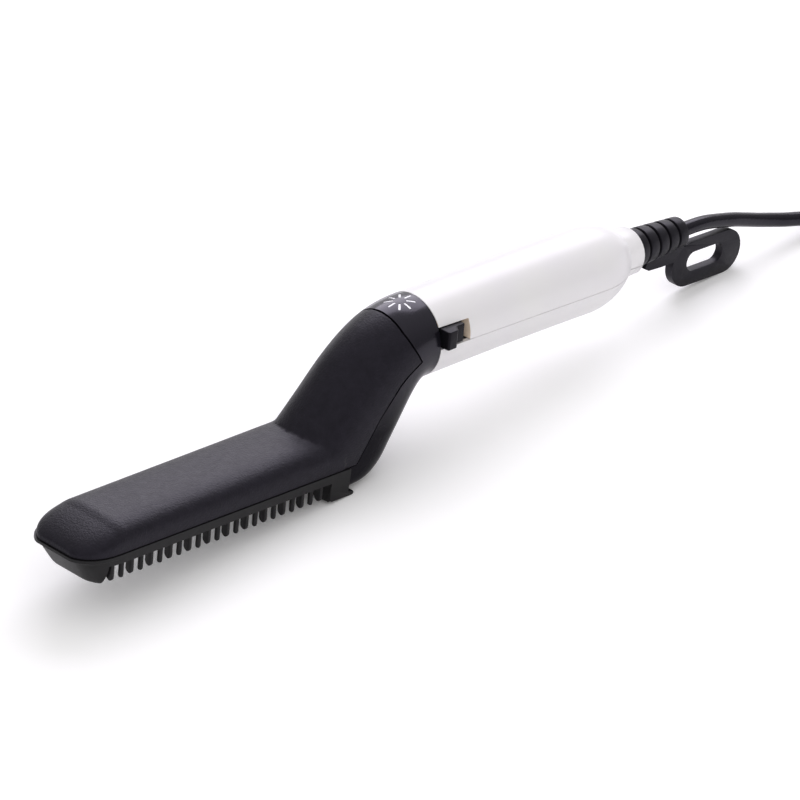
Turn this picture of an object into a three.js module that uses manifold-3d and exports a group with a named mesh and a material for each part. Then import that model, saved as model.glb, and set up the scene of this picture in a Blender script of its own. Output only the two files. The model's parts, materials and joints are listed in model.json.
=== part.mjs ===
// Electric hair comb: a heated comb head on an angled neck, a straight round handle with a
// slide switch, and a mains lead with its plug. Millimetres, +Z up.
//
// The tool is drawn in its own frame: the handle's axis is X, the collar's rear plane is x = 0,
// the head lies on the -X side and the lead on the +X side. The whole tool is then tilted so
// that the comb's heel and the hanging loop stand on one floor.
import * as THREE from 'three';
import { mergeVertices } from 'three/addons/utils/BufferGeometryUtils.js';
import Module from 'manifold-3d';

const wasm = await Module();
wasm.setup();

// Clearances
const gap = 0.3;                  // between pieces that touch or seat on each other
const slideGap = 0.3;             // around the switch slider in its slot

// Points round a handle or neck section
const facets = 32;

// Handle
const handleRadius = 15.3;        // at the collar
const handleRearRadius = 15.7;    // where the rear shoulder starts
const handleRearLift = 1.5;       // how far the axis has risen there
const handleLength = 111.6;       // collar to the end of the end neck
const endNeckRadius = 9.0;
const endNeckLift = 2.7;
const endNeckLength = 7.4;
const shoulderLength = 20.2;
const handleWall = 1.8;
const spigotLength = 6;           // front of the halves, inside the collar
const spigotWall = 1.6;

// Collar and neck
const shellWall = 1.8;
const neckWidth = 31.6;
const neckTopLength = 60.5;       // along the top, from the collar's rear plane
const neckEndTopZ = -29;
const neckEndBottomZ = -42.1;
const collarSeamX = -15.8;        // front edge of the collar's top

// Head
const headWidth = 32.4;
const headSeamZ = -33.0;
const headFrontX = -162.2;
const headCrownFront = 9.2;       // height of the crown over the seam
const headCrownRear = 11;
const headTipLength = 16;         // where its plan rounds off
const crownTipLength = 19.5;      // where its crown falls
const crownTipShare = 0.16;       // of the crown's height, left at the very tip
const headCrownPower = 3.3;

// Comb attachment
const combLip = 0.6;              // how far its rim stands proud of the shell
const combRearX = -41.3;
const combRailHeight = 3.2;
const combRailWidth = 3.6;
const toothPitch = 4.353;
const toothCount = 23;
const toothLength = 5.9;
const pinDiameter = 1.9;
const bladeThickness = 1.4;
const bladeDepth = 3.0;
const toothInset = 0.5;           // from the rail's outer face
const noseLength = 10.2;          // front block, along X
const noseDepth = 11.5;           // front block, below the seam
const noseSetBack = 6.9;          // how far the nose draws back at its foot
const noseTuck = 1.4;
const combRim = 1;                // upright band along the seam
const rimLedge = 0.5;             // height of the slope under that band
const noseInset = 1.4;            // of the nose under that band
const heelLength = 9;
const heelDepth = 10.75;
const heelLipLength = 2.7;
const heelLipHeight = 1.6;
const combWall = 1.6;

// Heating set in the head
const carrierThickness = 3.6;
const carrierFlange = 1.3;
const carrierMargin = 0.5;        // to the comb's rails and blocks
const carrierTailX = -30.5;
const carrierTailWidth = 23;
const plateWidth = 18.6;
const plateFlangeWidth = 22;
const plateFlange = 1.3;
const plateStandOut = 1.0;        // below the carrier
const plateEndMargin = 4;
const ptcLength = 60;
const ptcWidth = 10;
const ptcThickness = 2;
const filmThickness = 0.4;
const filmMargin = 1;
const clipThickness = 0.6;
const clipWidth = 7;
const clipFoot = 6;
const clipRoom = 2.35;            // from the heater's end to the clip's foot
const fuseDiameter = 3.8;
const fuseLength = 8;
const wireRadius = 0.9;
const wireBends = [[-21, 3.6, -3], [-31, 3.5, -15], [-41, 3.5, -24], [-50, 3.6]];  // down the neck

// Light window
const lightX = -6.8;
const rayCount = 8;
const rayWidth = 0.8;
const rayInner = 2.2;
const rayOuter = 5.5;
const guideRadius = 5.9;
const guideThickness = 1.2;
const guideDepth = 5.4;           // its disc, below the collar's top
const ledRadius = 1.5;
const ledLegHole = 0.4;

// Slide switch
const slotLength = 14.3;
const slotHeight = 7.6;
const sliderLength = 10.4;
const thumbLength = 5.4;
const thumbStandOut = 3.1;
const sliderPlateStandOut = 0.2;
const sliderThickness = 2.2;
const bevelCut = 10;
const bevelTilt = -40;            // degrees, along the thumb piece's upper edge
const bevelShift = [3.2, 4.4];    // the cut's middle, out from that edge
const leverWidth = 3;
const leverHeight = 2.4;
const leverReach = 1.6;           // into the switch housing
const switchWidth = 12;
const switchDepth = 5.6;
const switchHeight = 5.2;
const switchTravel = 3.0;

// Circuit board
const boardThickness = 1.6;
const boardWidth = 19;
const boardFrontX = -13;
const boardRearSet = 27;          // its rear end, before the shoulder
const boardZ = 0.2;               // underside
const boardRib = 1.6;
const boardRibHalf = 8;
const frontRibX = 23;
const rearRibSet = 7;             // before the board's rear end
const capacitorX = [26, 40];
const capacitorY = [-7, 1];
const capacitorHeight = 7.5;
const triacX = [18, 21.5];
const triacY = [-2, 7];
const triacHeight = 8.5;
const mainsFuseLength = 11;
const mainsFuseSet = 4.5;         // before the board's rear end
const mainsFuseRadius = 2.5;
const mainsFuseY = 5;

// Screws
const screwShank = 1.1;
const screwHead = 2.4;
const screwHeadHeight = 1.6;
const bossRadius = 2.9;
const frontScrewSet = 7;          // behind the board
const rearScrewSet = 8;           // behind the shoulder's start
const rearScrewY = 6.2;
const handleScrewLength = 15;
const carrierScrewX = -45.9;
const carrierScrewY = 8;
const carrierScrewLength = 7;
const neckScrewX = -34;
const neckScrewLength = 8;
const clipScrewLength = 4.2;

// Lead, its strain relief and its plug
const cordDiameter = 5.5;
const reliefRootRadius = 7.4;
const reliefEndRadius = 5.8;
const reliefLength = 27.1;
const reliefEndLift = 2.9;
const reliefRibs = 5;
const reliefGrooveDepth = 0.9;
const reliefGrooveWidth = 1.2;
const reliefShankRadius = 6.7;
const reliefFlangeRadius = 8.3;
const reliefFlangeWidth = 2;
const reliefFlangeSet = 2.2;        // before the shoulder's inner end
const loopThickness = 3.4;
const loopLength = 37.9;
const loopHeight = 17.2;
const loopSlotLength = 18.6;
const loopSlotHeight = 7.7;
const loopSlotShift = [-1.6, 0.7];
const loopSetBack = 16.3;         // its middle, behind the relief's end
const loopCentreZ = -11.3;
const finStart = 8.8;             // behind the relief's root
const finDepth = 8.3;             // below the handle's axis
const clampSet = 2;               // before the shoulder's start
const clampWidth = 7;
const clampSpan = 17;
const clampThickness = 3;
const clampScrewY = 6.2;
const clampPostRadius = 2.5;
const clampScrewLength = 7;
const hankRun = 52;               // between the folds' centres
const hankFoldRadius = 15.8;      // of the innermost turn
const hankWaistHalf = 11.3;       // of the innermost turn, under the tie
const hankWaistLength = 7;        // straight part under the tie
const hankGap = 0.7;              // between neighbouring turns
const hankTurnsAcross = 1.5;      // in a layer
const hankTurns = 5.75;
const hankSteps = 24;             // in a turn
const tieWidth = 5;
const tieThickness = 0.9;
const tieRoom = 0.6;              // to the turns that it holds
const tieFoot = 0.3;              // over the floor
const plugRoom = 0.45;            // over the turns that it lies on
const plugThickness = 13.7;
const plugGuardRadius = 4.6;
const pinDiameterPlug = 4;
const pinLength = 19;
const pinSeat = 6;                // of each pin, inside the plug
const pinSpacing = 18.6;

// Where the lead runs freely: from the strain relief down to the floor and on to the hank
const leadRoute = [
  [135.62, 0.95, 25.76], [142.1, 0.95, 25.2], [146.9, 0.95, 24.6], [151.7, 0.95, 23.6], [158.7, 0.95, 21.5],
  [165.8, 0.9, 19.2], [172.8, 0.8, 16.5], [180, 0.5, 13.7], [186.4, -0.1, 11.5], [192.9, -1, 9.4],
  [200.2, -2.1, 7.4], [207, -3.8, 5.7], [214, -6.7, 4.2], [221, -10.4, 3.3], [228, -14.4, 2.9],
  [235, -18.2, 2.8], [240.5, -21.2, 2.8], [246, -23.2, 2.8], [250, -23.9, 2.8], [254, -23.9, 2.8],
];

// The last of the lead, from the hank's middle: round its rear fold and up over it to the plug
const hankTail = [
  [-49.3, -6.3, 18.9], [-47.1, -12.3, 19.4], [-43.2, -17.2, 20.2], [-38.3, -20.9, 21.3], [-32.6, -23, 22.6],
  [-26.6, -22.9, 24], [-20.9, -20.7, 25.4], [-15.6, -17.6, 26.7], [-10.3, -14.3, 27.7], [-5.1, -11.2, 28.3],
  [-0.4, -9.2, 28.5],
];
const plugFromHank = [9.9, -8.3]; // where the plug's guard starts, on top of the hank

// Materials
const paint = (color, roughness, metalness = 0) =>
  new THREE.MeshStandardMaterial({ color, roughness, metalness });
const softBlack = paint(0x2b2a2e, 0.6);
const glossBlack = paint(0x232226, 0.18);
const satinBlack = paint(0x29282b, 0.42);
const pearlWhite = paint(0xeceaec, 0.28);
const rubberBlack = paint(0x242426, 0.62);
const clearWindow = paint(0xf6f6f8, 0.3);
const aluminium = paint(0xb9bcc0, 0.35, 0.9);
const steel = paint(0xa8a8aa, 0.35, 1);
const brass = paint(0xc9a24c, 0.35, 1);
const ceramic = paint(0xcfcac0, 0.6);
const film = paint(0xc7812c, 0.4);
const carrierTan = paint(0x6d6257, 0.6);
const boardGreen = paint(0x2f6b3b, 0.5);
const wireRed = paint(0xa3252a, 0.5);
const wireBlue = paint(0x2a4f9c, 0.5);

const model = new THREE.Group();
const tool = new THREE.Group();
model.add(tool);

function add(group, name, geometry, material) {
  const mesh = new THREE.Mesh(geometry, material);
  mesh.name = name;
  group.add(mesh);
  return mesh;
}

// Turn a closed geometry into a solid, and a solid back into a geometry.
function solid(geometry) {
  const bare = new THREE.BufferGeometry();
  bare.setAttribute('position', geometry.getAttribute('position').clone());
  if (geometry.index) bare.setIndex(geometry.index.clone());
  const merged = mergeVertices(bare, 1e-4);
  return new wasm.Manifold(new wasm.Mesh({
    numProp: 3,
    vertProperties: new Float32Array(merged.getAttribute('position').array),
    triVerts: new Uint32Array(merged.index.array),
  }));
}

function geometryOf(body) {
  const mesh = body.getMesh();
  const geometry = new THREE.BufferGeometry();
  geometry.setAttribute('position', new THREE.BufferAttribute(new Float32Array(mesh.vertProperties), 3));
  geometry.setIndex(new THREE.BufferAttribute(new Uint32Array(mesh.triVerts), 1));
  geometry.computeVertexNormals();
  return geometry;
}

const joined = (...bodies) => bodies.reduce((all, body) => all.add(body));
const without = (body, ...cuts) => cuts.reduce((rest, cut) => rest.subtract(cut), body);

// A closed skin through rings of equally many points, with a fan on each end.
function loft(rings) {
  const count = rings[0].length;
  const points = rings.flat();
  const index = [];
  for (let i = 0; i + 1 < rings.length; i += 1) {
    for (let k = 0; k < count; k += 1) {
      const a = i * count + k;
      const b = i * count + ((k + 1) % count);
      index.push(a, b, b + count, a, b + count, a + count);
    }
  }
  for (const end of [0, rings.length - 1]) {
    const middle = rings[end].reduce((sum, p) => sum.add(p), new THREE.Vector3());
    const centre = points.push(middle.divideScalar(count)) - 1;
    for (let k = 0; k < count; k += 1) {
      const a = end * count + k;
      const b = end * count + ((k + 1) % count);
      if (end === 0) index.push(centre, b, a);
      else index.push(centre, a, b);
    }
  }
  const geometry = new THREE.BufferGeometry().setFromPoints(points);
  geometry.setIndex(index);
  const volume = signedVolume(geometry);
  if (volume < 0) geometry.setIndex(index.slice().reverse());
  return geometry;
}

function signedVolume(geometry) {
  const position = geometry.getAttribute('position');
  const [a, b, c] = [new THREE.Vector3(), new THREE.Vector3(), new THREE.Vector3()];
  let volume = 0;
  for (let i = 0; i < geometry.index.count; i += 3) {
    a.fromBufferAttribute(position, geometry.index.getX(i));
    b.fromBufferAttribute(position, geometry.index.getX(i + 1));
    c.fromBufferAttribute(position, geometry.index.getX(i + 2));
    volume += a.dot(b.cross(c)) / 6;
  }
  return volume;
}

// A ring in the plane of its two half axes; power 2 is an ellipse, more is squarer.
function ring(centre, halfU, halfV, power, count, powerBelow = power) {
  return Array.from({ length: count }, (_, k) => {
    const angle = (k / count) * 2 * Math.PI;
    const share = 2 / (2 * k > count ? powerBelow : power);
    const bulge = (value) => Math.sign(value) * Math.abs(value) ** share;
    return centre.clone()
      .addScaledVector(halfU, bulge(Math.cos(angle)))
      .addScaledVector(halfV, bulge(Math.sin(angle)));
  });
}

// An outline in x and z, pushed through from yLow to yHigh.
function prism(outline, yLow, yHigh) {
  const shape = outline instanceof THREE.Shape
    ? outline
    : new THREE.Shape(outline.map(([x, z]) => new THREE.Vector2(x, z)));
  const geometry = new THREE.ExtrudeGeometry(shape, {
    depth: yHigh - yLow, bevelEnabled: false, curveSegments: 8,
  });
  geometry.rotateX(Math.PI / 2);
  geometry.translate(0, yHigh, 0);
  return solid(geometry);
}

function block(xLow, xHigh, yLow, yHigh, zLow, zHigh) {
  const geometry = new THREE.BoxGeometry(xHigh - xLow, yHigh - yLow, zHigh - zLow);
  geometry.translate((xLow + xHigh) / 2, (yLow + yHigh) / 2, (zLow + zHigh) / 2);
  return solid(geometry);
}

// A round bar between two points, tapered if the radii differ.
function bar(from, to, radius, sides, endRadius = radius) {
  const start = new THREE.Vector3(...from);
  const end = new THREE.Vector3(...to);
  const geometry = new THREE.CylinderGeometry(endRadius, radius, start.distanceTo(end), sides);
  const along = end.clone().sub(start).normalize();
  geometry.applyQuaternion(new THREE.Quaternion().setFromUnitVectors(new THREE.Vector3(0, 1, 0), along));
  geometry.translate(...start.add(end).multiplyScalar(0.5).toArray());
  return solid(geometry);
}

// A tube of regular section along a smooth curve through the points.
function tube(points, radius, sides, steps) {
  const section = new THREE.Shape(Array.from({ length: sides }, (_, k) => {
    const angle = ((k + 0.5) / sides) * 2 * Math.PI;
    return new THREE.Vector2(radius * Math.cos(angle), radius * Math.sin(angle));
  }));
  const path = new THREE.CatmullRomCurve3(points.map((p) => new THREE.Vector3(...p)));
  return new THREE.ExtrudeGeometry(section, { steps, extrudePath: path, bevelEnabled: false });
}

// A pan-head screw standing on its tip at the origin's seat: head above z = 0, shank below.
function screw(length) {
  const profile = [
    [0, -length], [screwShank, -length + 1.5], [screwShank, 0], [screwHead, 0],
    [screwHead * 0.8, screwHeadHeight], [0, screwHeadHeight],
  ].map(([r, z]) => new THREE.Vector2(r, z));
  const geometry = new THREE.LatheGeometry(profile, 10);
  geometry.rotateX(Math.PI / 2);
  return geometry;
}

function placed(geometry, position, turnX = 0) {
  geometry.rotateX(turnX);
  geometry.translate(...position);
  return geometry;
}

// Handle

const shoulderStart = handleLength - endNeckLength - shoulderLength;
const shoulderEnd = handleLength - endNeckLength;
const boardRearX = shoulderStart - boardRearSet;
const boardRibX = [frontRibX, boardRearX - rearRibSet];
const clampX = shoulderStart - clampSet;
const handleScrews = [
  [boardRearX + frontScrewSet, 0], [shoulderStart + rearScrewSet, rearScrewY],
  [shoulderStart + rearScrewSet, -rearScrewY],
];

function handleSection(x, inset) {
  const run = Math.max(0, Math.min(1, x / shoulderStart));
  let radius = handleRadius + (handleRearRadius - handleRadius) * run;
  let lift = handleRearLift * Math.sin(run * Math.PI / 2);
  if (x > shoulderStart) {
    const t = Math.min(1, (x - shoulderStart) / shoulderLength);
    radius = endNeckRadius + (handleRearRadius - endNeckRadius) * (1 - t ** 2.1) ** 0.87;
    lift = handleRearLift + (endNeckLift - handleRearLift) * t;
  }
  const reach = radius - inset;
  return ring(new THREE.Vector3(x, 0, lift), new THREE.Vector3(0, reach, 0),
    new THREE.Vector3(0, 0, reach), 2, facets);
}

const shoulderStops = [0, 0.25, 0.45, 0.62, 0.76, 0.87, 0.94, 0.985, 1]
  .map((t) => shoulderStart + shoulderLength * t);
const straightStops = [0.25, 0.55, 0.8].map((t) => shoulderStart * t);
const handleStops = [0, ...straightStops, ...shoulderStops, handleLength];
const hollowStops = [-1, ...straightStops, ...shoulderStops.map((x) => x - handleWall), handleLength + 1];
const handleSkin = solid(loft(handleStops.map((x) => handleSection(x, 0))));
const handleHollow = solid(loft(hollowStops.map((x) => handleSection(x, handleWall))));
const collarBoreRadius = handleRadius - shellWall;
const spigotBore = collarBoreRadius - gap - spigotWall;
const spigotProfile = [
  [spigotBore, -spigotLength], [collarBoreRadius - gap, -spigotLength], [collarBoreRadius - gap, 0],
  [handleRadius - handleWall / 2, 0], [handleRadius - handleWall / 2, spigotWall],
  [spigotBore, spigotWall], [spigotBore, -spigotLength],
].map(([r, x]) => new THREE.Vector2(r, x));
const spigotShape = new THREE.LatheGeometry(spigotProfile, facets);
spigotShape.rotateZ(-Math.PI / 2);
const handleTube = joined(without(handleSkin, handleHollow), solid(spigotShape));
const reach = 2 * handleLength;
const aboveParting = block(-reach, reach, -reach, reach, gap / 2, reach);
const belowParting = block(-reach, reach, -reach, reach, -reach, -gap / 2);

const boardTop = boardZ + boardThickness;

// Two screws come up from below: a pillar in each half, head in the lower one's recess.
const screwSeatZ = -8;
const handleInside = solid(loft(handleStops.map((x) => handleSection(x, handleWall / 2))));
const pillars = joined(...handleScrews.map(([x, y]) => bar([x, y, -reach], [x, y, reach], bossRadius, 14)))
  .intersect(handleInside);
const screwHoles = handleScrews.flatMap(([x, y]) => [
  bar([x, y, screwSeatZ - 1], [x, y, screwSeatZ + handleScrewLength + 1], screwShank + gap, 10),
  bar([x, y, -reach], [x, y, screwSeatZ], screwHead + gap, 14),
]);

// The slot is cut in the upper half down to the parting, right behind the collar.
const slotCut = block(0, slotLength, -handleRadius - 1, -spigotBore / 2, -1, slotHeight);
// The front spigot is open at the top, where the light guide stands.
const lightNotch = block(-spigotLength - 1, lightX + guideRadius + 2 * gap,
  -guideRadius - 2 * gap, guideRadius + 2 * gap, 0, handleRadius);

// Ribs carry the board; two posts and a saddle carry the lead under its clamp.
const boardRibs = boardRibX.map((x) => block(
  x, x + boardRib, -boardRibHalf, boardRibHalf, -reach, boardZ - gap));
const boardHold = block(frontRibX, frontRibX + boardRib, -boardRibHalf, boardRibHalf, boardTop + gap, reach);
const leadZ = endNeckLift * 0.4;
const clampZ = leadZ + cordDiameter / 2 + gap;
const clampSeats = [-1, 1].map((side) => bar(
  [clampX, side * clampScrewY, -reach], [clampX, side * clampScrewY, clampZ - gap], clampPostRadius, 12));
const saddle = block(clampX - 2, clampX + 2, -clampScrewY, clampScrewY,
  -reach, leadZ - cordDiameter / 2 - gap);
const clampHoles = [-1, 1].map((side) => bar(
  [clampX, side * clampScrewY, clampZ - gap - clampScrewLength], [clampX, side * clampScrewY, reach],
  screwShank + gap, 10));

const inLower = joined(...boardRibs, ...clampSeats, saddle).intersect(handleInside);
const handleUpper = without(
  joined(handleTube, pillars, boardHold.intersect(handleInside)).intersect(aboveParting),
  ...screwHoles, slotCut, lightNotch);
const handleLower = without(
  joined(joined(handleTube, pillars).intersect(belowParting), inLower), ...screwHoles, ...clampHoles);
add(tool, 'handle_upper_half', geometryOf(handleUpper), pearlWhite);
add(tool, 'handle_lower_half', geometryOf(handleLower), pearlWhite);
handleScrews.forEach(([x, y], i) => {
  const geometry = placed(screw(handleScrewLength - gap), [x, y, screwSeatZ - gap], Math.PI);
  add(tool, `handle_screw_${i + 1}`, geometry, steel);
});

// Neck and head: one skin, parted into an upper shell and a lower neck shell

// Stations from the collar to the head. The neck's top runs from the collar's top to the
// crown, and its underside from the collar's foot to the comb's heel: shares of each way in x
// and z, then the share of the change in width, and the squareness above and below.
const neckStations = [
  [-0.0165, 0, -0.0242, 0, 0, 2, 2],
  [0.0826, 0.0068, 0.0605, 0.0075, 0.05, 2, 2],
  [0.1983, 0.0316, 0.1259, 0.0597, 0.15, 2, 2.1],
  [0.3306, 0.088, 0.1937, 0.1903, 0.3, 2, 2.3],
  [0.4711, 0.1874, 0.2954, 0.4515, 0.5, 2, 2.5],
  [0.6116, 0.3363, 0.4165, 0.7201, 0.7, 2, 2.8],
  [0.7521, 0.5485, 0.5375, 0.9067, 0.85, 2.1, 3.4],
  [0.876, 0.7652, 0.7264, 1.0075, 1, 2.3, 4.5],
  [1, 1, 1, 1, 1, 2.6, 6],
];

function neckLoft(inset) {
  return solid(loft(neckStations.map((station) => {
    const [topX, topFall, bottomX, bottomFall, share, powerTop, powerBottom] = station;
    const high = new THREE.Vector3(
      -neckTopLength * topX, 0, THREE.MathUtils.lerp(handleRadius, neckEndTopZ, topFall));
    const low = new THREE.Vector3(
      combRearX * bottomX, 0, THREE.MathUtils.lerp(-handleRadius, neckEndBottomZ, bottomFall));
    const half = high.clone().sub(low).multiplyScalar(0.5);
    half.setLength(half.length() - inset);
    const width = handleRadius + (neckWidth / 2 - handleRadius) * share - inset;
    return ring(high.add(low).multiplyScalar(0.5), new THREE.Vector3(0, width, 0), half, powerTop, facets,
      powerBottom);
  })));
}

const headRearX = -44;
const tipShares = [0, 0.3, 0.55, 0.75, 0.88, 0.96, 1];
const tipStops = tipShares.map((t) => headFrontX + headTipLength * (1 - t));
const headBodyStops = [-75, -105, -135];
const headStations = [headRearX, ...headBodyStops, headFrontX + crownTipLength, ...tipStops];

// The head's plan half width and crown height at x.
function headShape(x) {
  const intoTip = (length) => Math.max(0, Math.min(0.999, (headFrontX + length - x) / length));
  const run = Math.max(0, Math.min(1, (headRearX - x) / (headRearX - headFrontX - crownTipLength)));
  const round = (1 - intoTip(headTipLength) ** 2.6) ** 0.6;
  const fall = (1 - intoTip(crownTipLength) ** 1.2) ** 0.58;
  const crown = headCrownRear + (headCrownFront - headCrownRear) * run;
  return {
    half: headWidth / 2 * (0.45 + 0.55 * round),
    crown: crown * (crownTipShare + (1 - crownTipShare) * fall),
  };
}

function headSection(x, inset, drop) {
  const { half, crown } = headShape(x);
  const count = 20;
  const points = Array.from({ length: count + 1 }, (_, k) => {
    const angle = (k / count) * Math.PI;
    const bulge = (value) => Math.sign(value) * Math.abs(value) ** (2 / headCrownPower);
    return new THREE.Vector3(x, (half - inset) * bulge(Math.cos(angle)),
      headSeamZ + Math.max(crown - inset, 0.2) * bulge(Math.sin(angle)));
  });
  return [new THREE.Vector3(x, half - inset, headSeamZ - drop), ...points,
    new THREE.Vector3(x, -(half - inset), headSeamZ - drop)];
}

const headSkin = solid(loft(headStations.map((x) => headSection(x, 0, 4))));
const headHollow = solid(loft(headStations.map((x) => headSection(
  Math.max(x, headFrontX + shellWall + (x - headFrontX) * 0.97), shellWall, 5))));
const neckSkin = neckLoft(0);
const neckHollow = neckLoft(shellWall);

// The parting runs down the collar's front seam, along the neck's side and round the head.
const partingLine = [
  [collarSeamX, reach], [collarSeamX + 0.1, 12.8], [-14.9, 8.6], [-12.8, 4], [-9.1, -2.2],
  [-15.4, -5.8], [-18.8, -8.5], [-28.1, -18.8], [-38, headSeamZ],
];
const shifted = (points, dx, dz) => points.map(([x, z]) => [x + dx, z + dz]);
const upperZone = prism([
  ...shifted(partingLine, -gap / 2, gap / 2), [-reach, headSeamZ + gap / 2], [-reach, reach + gap / 2],
], -reach, reach);
const lowerZone = prism([
  ...shifted(partingLine, gap / 2, -gap / 2), [combRearX + gap, headSeamZ - gap / 2],
  [combRearX + gap, -reach], [-gap, -reach], [-gap, reach - gap / 2],
], -reach, reach);

const skin = joined(headSkin, neckSkin);
const hollow = joined(headHollow, neckHollow);
const shellTube = without(skin, hollow);

// The collar is a ring that the handle's front spigot enters.
const collarBore = bar([-spigotLength - gap, 0, 0], [1, 0, 0], collarBoreRadius, facets);

// Light window: eight rays that come up through the collar's top from a disc below it.
function rays(width, inner, outer, low, high) {
  return joined(...Array.from({ length: rayCount }, (_, k) => {
    const spoke = block(inner, outer, -width / 2, width / 2, low, high);
    return spoke.rotate([0, 0, k * 360 / rayCount]).translate([lightX, 0, 0]);
  }));
}
const guideTopZ = handleRadius - guideDepth;
const rayHoles = rays(rayWidth + 2 * gap, rayInner - gap, rayOuter + gap, guideTopZ, reach);

const carrierScrewHoles = [-1, 1].map((side) => bar(
  [carrierScrewX, side * carrierScrewY, -reach],
  [carrierScrewX, side * carrierScrewY, headSeamZ + carrierScrewLength + gap], screwShank + gap, 12));
const carrierTopZ = headSeamZ + carrierFlange + gap / 2;
const bosses = [-1, 1].map((side) => bar(
  [carrierScrewX, side * carrierScrewY, carrierTopZ + gap],
  [carrierScrewX, side * carrierScrewY, reach], bossRadius, 16));
const upperShell = without(
  joined(shellTube.intersect(upperZone), ...bosses.map((boss) => boss.intersect(skin).intersect(upperZone))),
  ...carrierScrewHoles);
const neckPillarTop = carrierTopZ - carrierFlange - gap / 2;
const neckPillar = bar([neckScrewX, 0, -reach], [neckScrewX, 0, neckPillarTop], bossRadius, 16);
const neckScrewSeat = neckPillarTop - 4;
const neckScrewHoles = [
  bar([neckScrewX, 0, -reach], [neckScrewX, 0, neckPillarTop + 1], screwShank + gap, 12),
  bar([neckScrewX, 0, -reach], [neckScrewX, 0, neckScrewSeat], screwHead + gap, 16),
];
const lowerShell = without(
  joined(
    without(shellTube.intersect(lowerZone), collarBore),
    neckPillar.intersect(neckSkin)),
  rayHoles, ...neckScrewHoles);
add(tool, 'head_shell', geometryOf(upperShell), softBlack);
add(tool, 'neck_shell_with_collar', geometryOf(lowerShell), glossBlack);

const guideDisc = bar([lightX, 0, guideTopZ - guideThickness], [lightX, 0, guideTopZ], guideRadius, 24);
const guideRays = rays(rayWidth, rayInner, rayOuter, guideTopZ - guideThickness / 2, reach);
const lightGuide = joined(guideDisc, guideRays.intersect(neckLoft(0.05)));
add(tool, 'light_guide', geometryOf(lightGuide), clearWindow);

// Comb attachment

const combTopZ = headSeamZ - gap / 2;
const railBottomZ = combTopZ - combRailHeight;

// The frame's plan outline at a depth: it keeps the head's plan and draws back at the nose.
function combOutline(z) {
  const under = Math.max(0, Math.min(1, (combTopZ - combRim - z) / rimLedge));
  const depth = Math.max(0, Math.min(1, (combTopZ - combRim - z) / (noseDepth - combRim)));
  const setBack = noseInset * under + noseSetBack * depth;
  const tuck = noseTuck * depth ** 2;
  const bendStart = headBodyStops[headBodyStops.length - 1];
  const side = [combRearX, ...headBodyStops, ...tipStops].map((x) => {
    const bend = Math.max(0, (bendStart - x) / (bendStart - headFrontX));
    return [x - combLip * bend + setBack * bend, headShape(x).half + combLip * 0.6 - tuck];
  });
  return [...side.map(([x, y]) => new THREE.Vector3(x, y, z)),
    ...side.slice().reverse().map(([x, y]) => new THREE.Vector3(x, -y, z))];
}

const combLevels = [0, combRim, combRim + rimLedge, 4, 6, 8, 9.6, 10.8, noseDepth].map((d) => combTopZ - d);
const combOuter = solid(loft(combLevels.map(combOutline)));
const heelBottomZ = combTopZ - heelDepth;
const heelFrontX = combRearX - heelLength;
const heelLipX = combRearX + heelLipLength;
const heelLipZ = heelBottomZ + heelLipHeight;
const heelBevel = 0.5;
const heel = prism([
  [combRearX, combTopZ], [combRearX, heelLipZ], [heelLipX - heelBevel, heelLipZ],
  [heelLipX, heelBottomZ + heelLipHeight / 2], [heelLipX - heelBevel, heelBottomZ],
  [heelFrontX + 1, heelBottomZ], [heelFrontX, heelBottomZ + 1], [heelFrontX, combTopZ],
], -headWidth / 2, headWidth / 2);
const innerHalf = headWidth / 2 - combRailWidth;
const noseRearX = headFrontX + noseLength;
const combPocket = block(noseRearX, heelFrontX, -innerHalf, innerHalf, -reach, combTopZ + 1);
const underRail = block(noseRearX, heelFrontX, -headWidth, headWidth, -reach, railBottomZ);
const underHeel = block(heelFrontX, heelLipX + 1, -headWidth, headWidth, -reach, heelBottomZ);
const heelPocket = block(heelFrontX + combWall, combRearX - combWall, -innerHalf, innerHalf,
  heelBottomZ + combWall, combTopZ + 1);
const nosePocket = block(headFrontX + 3 * combWall, noseRearX - combWall, -headWidth / 4, headWidth / 4,
  combTopZ - noseDepth * 0.4, combTopZ + 1);

function tooth(x, side, isBlade) {
  const outer = headWidth / 2 + combLip * 0.6 - toothInset;
  const tip = railBottomZ - toothLength;
  if (isBlade) {
    const half = bladeThickness / 2;
    const inner = outer - bladeDepth;
    const blade = prism([
      [inner, railBottomZ + 0.5], [outer, railBottomZ + 0.5], [outer, tip + 1.2], [outer - 0.4, tip + 0.4],
      [outer - 1.2, tip], [inner + 0.8, tip + 0.4], [inner, tip + 1.5],
    ], -half, half).rotate([0, 0, 90]).translate([x, 0, 0]);
    return side > 0 ? blade : blade.mirror([0, 1, 0]);
  }
  const y = side * (outer - pinDiameter / 2);
  const r = pinDiameter / 2;
  return joined(
    bar([x, y, railBottomZ + 0.5], [x, y, tip + r], r, 8),
    bar([x, y, tip + r + 0.01], [x, y, tip], r, 8, r * 0.45));
}

const firstToothX = noseRearX + combWall;
const teeth = [];
for (let i = 0; i < toothCount; i += 1) {
  for (const side of [-1, 1]) teeth.push(tooth(firstToothX + i * toothPitch, side, i % 2 === 0));
}
const comb = joined(
  without(joined(combOuter, heel), combPocket, underRail, underHeel, heelPocket, nosePocket), ...teeth);
add(tool, 'comb_attachment', geometryOf(comb), satinBlack);

// Heating set

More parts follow.
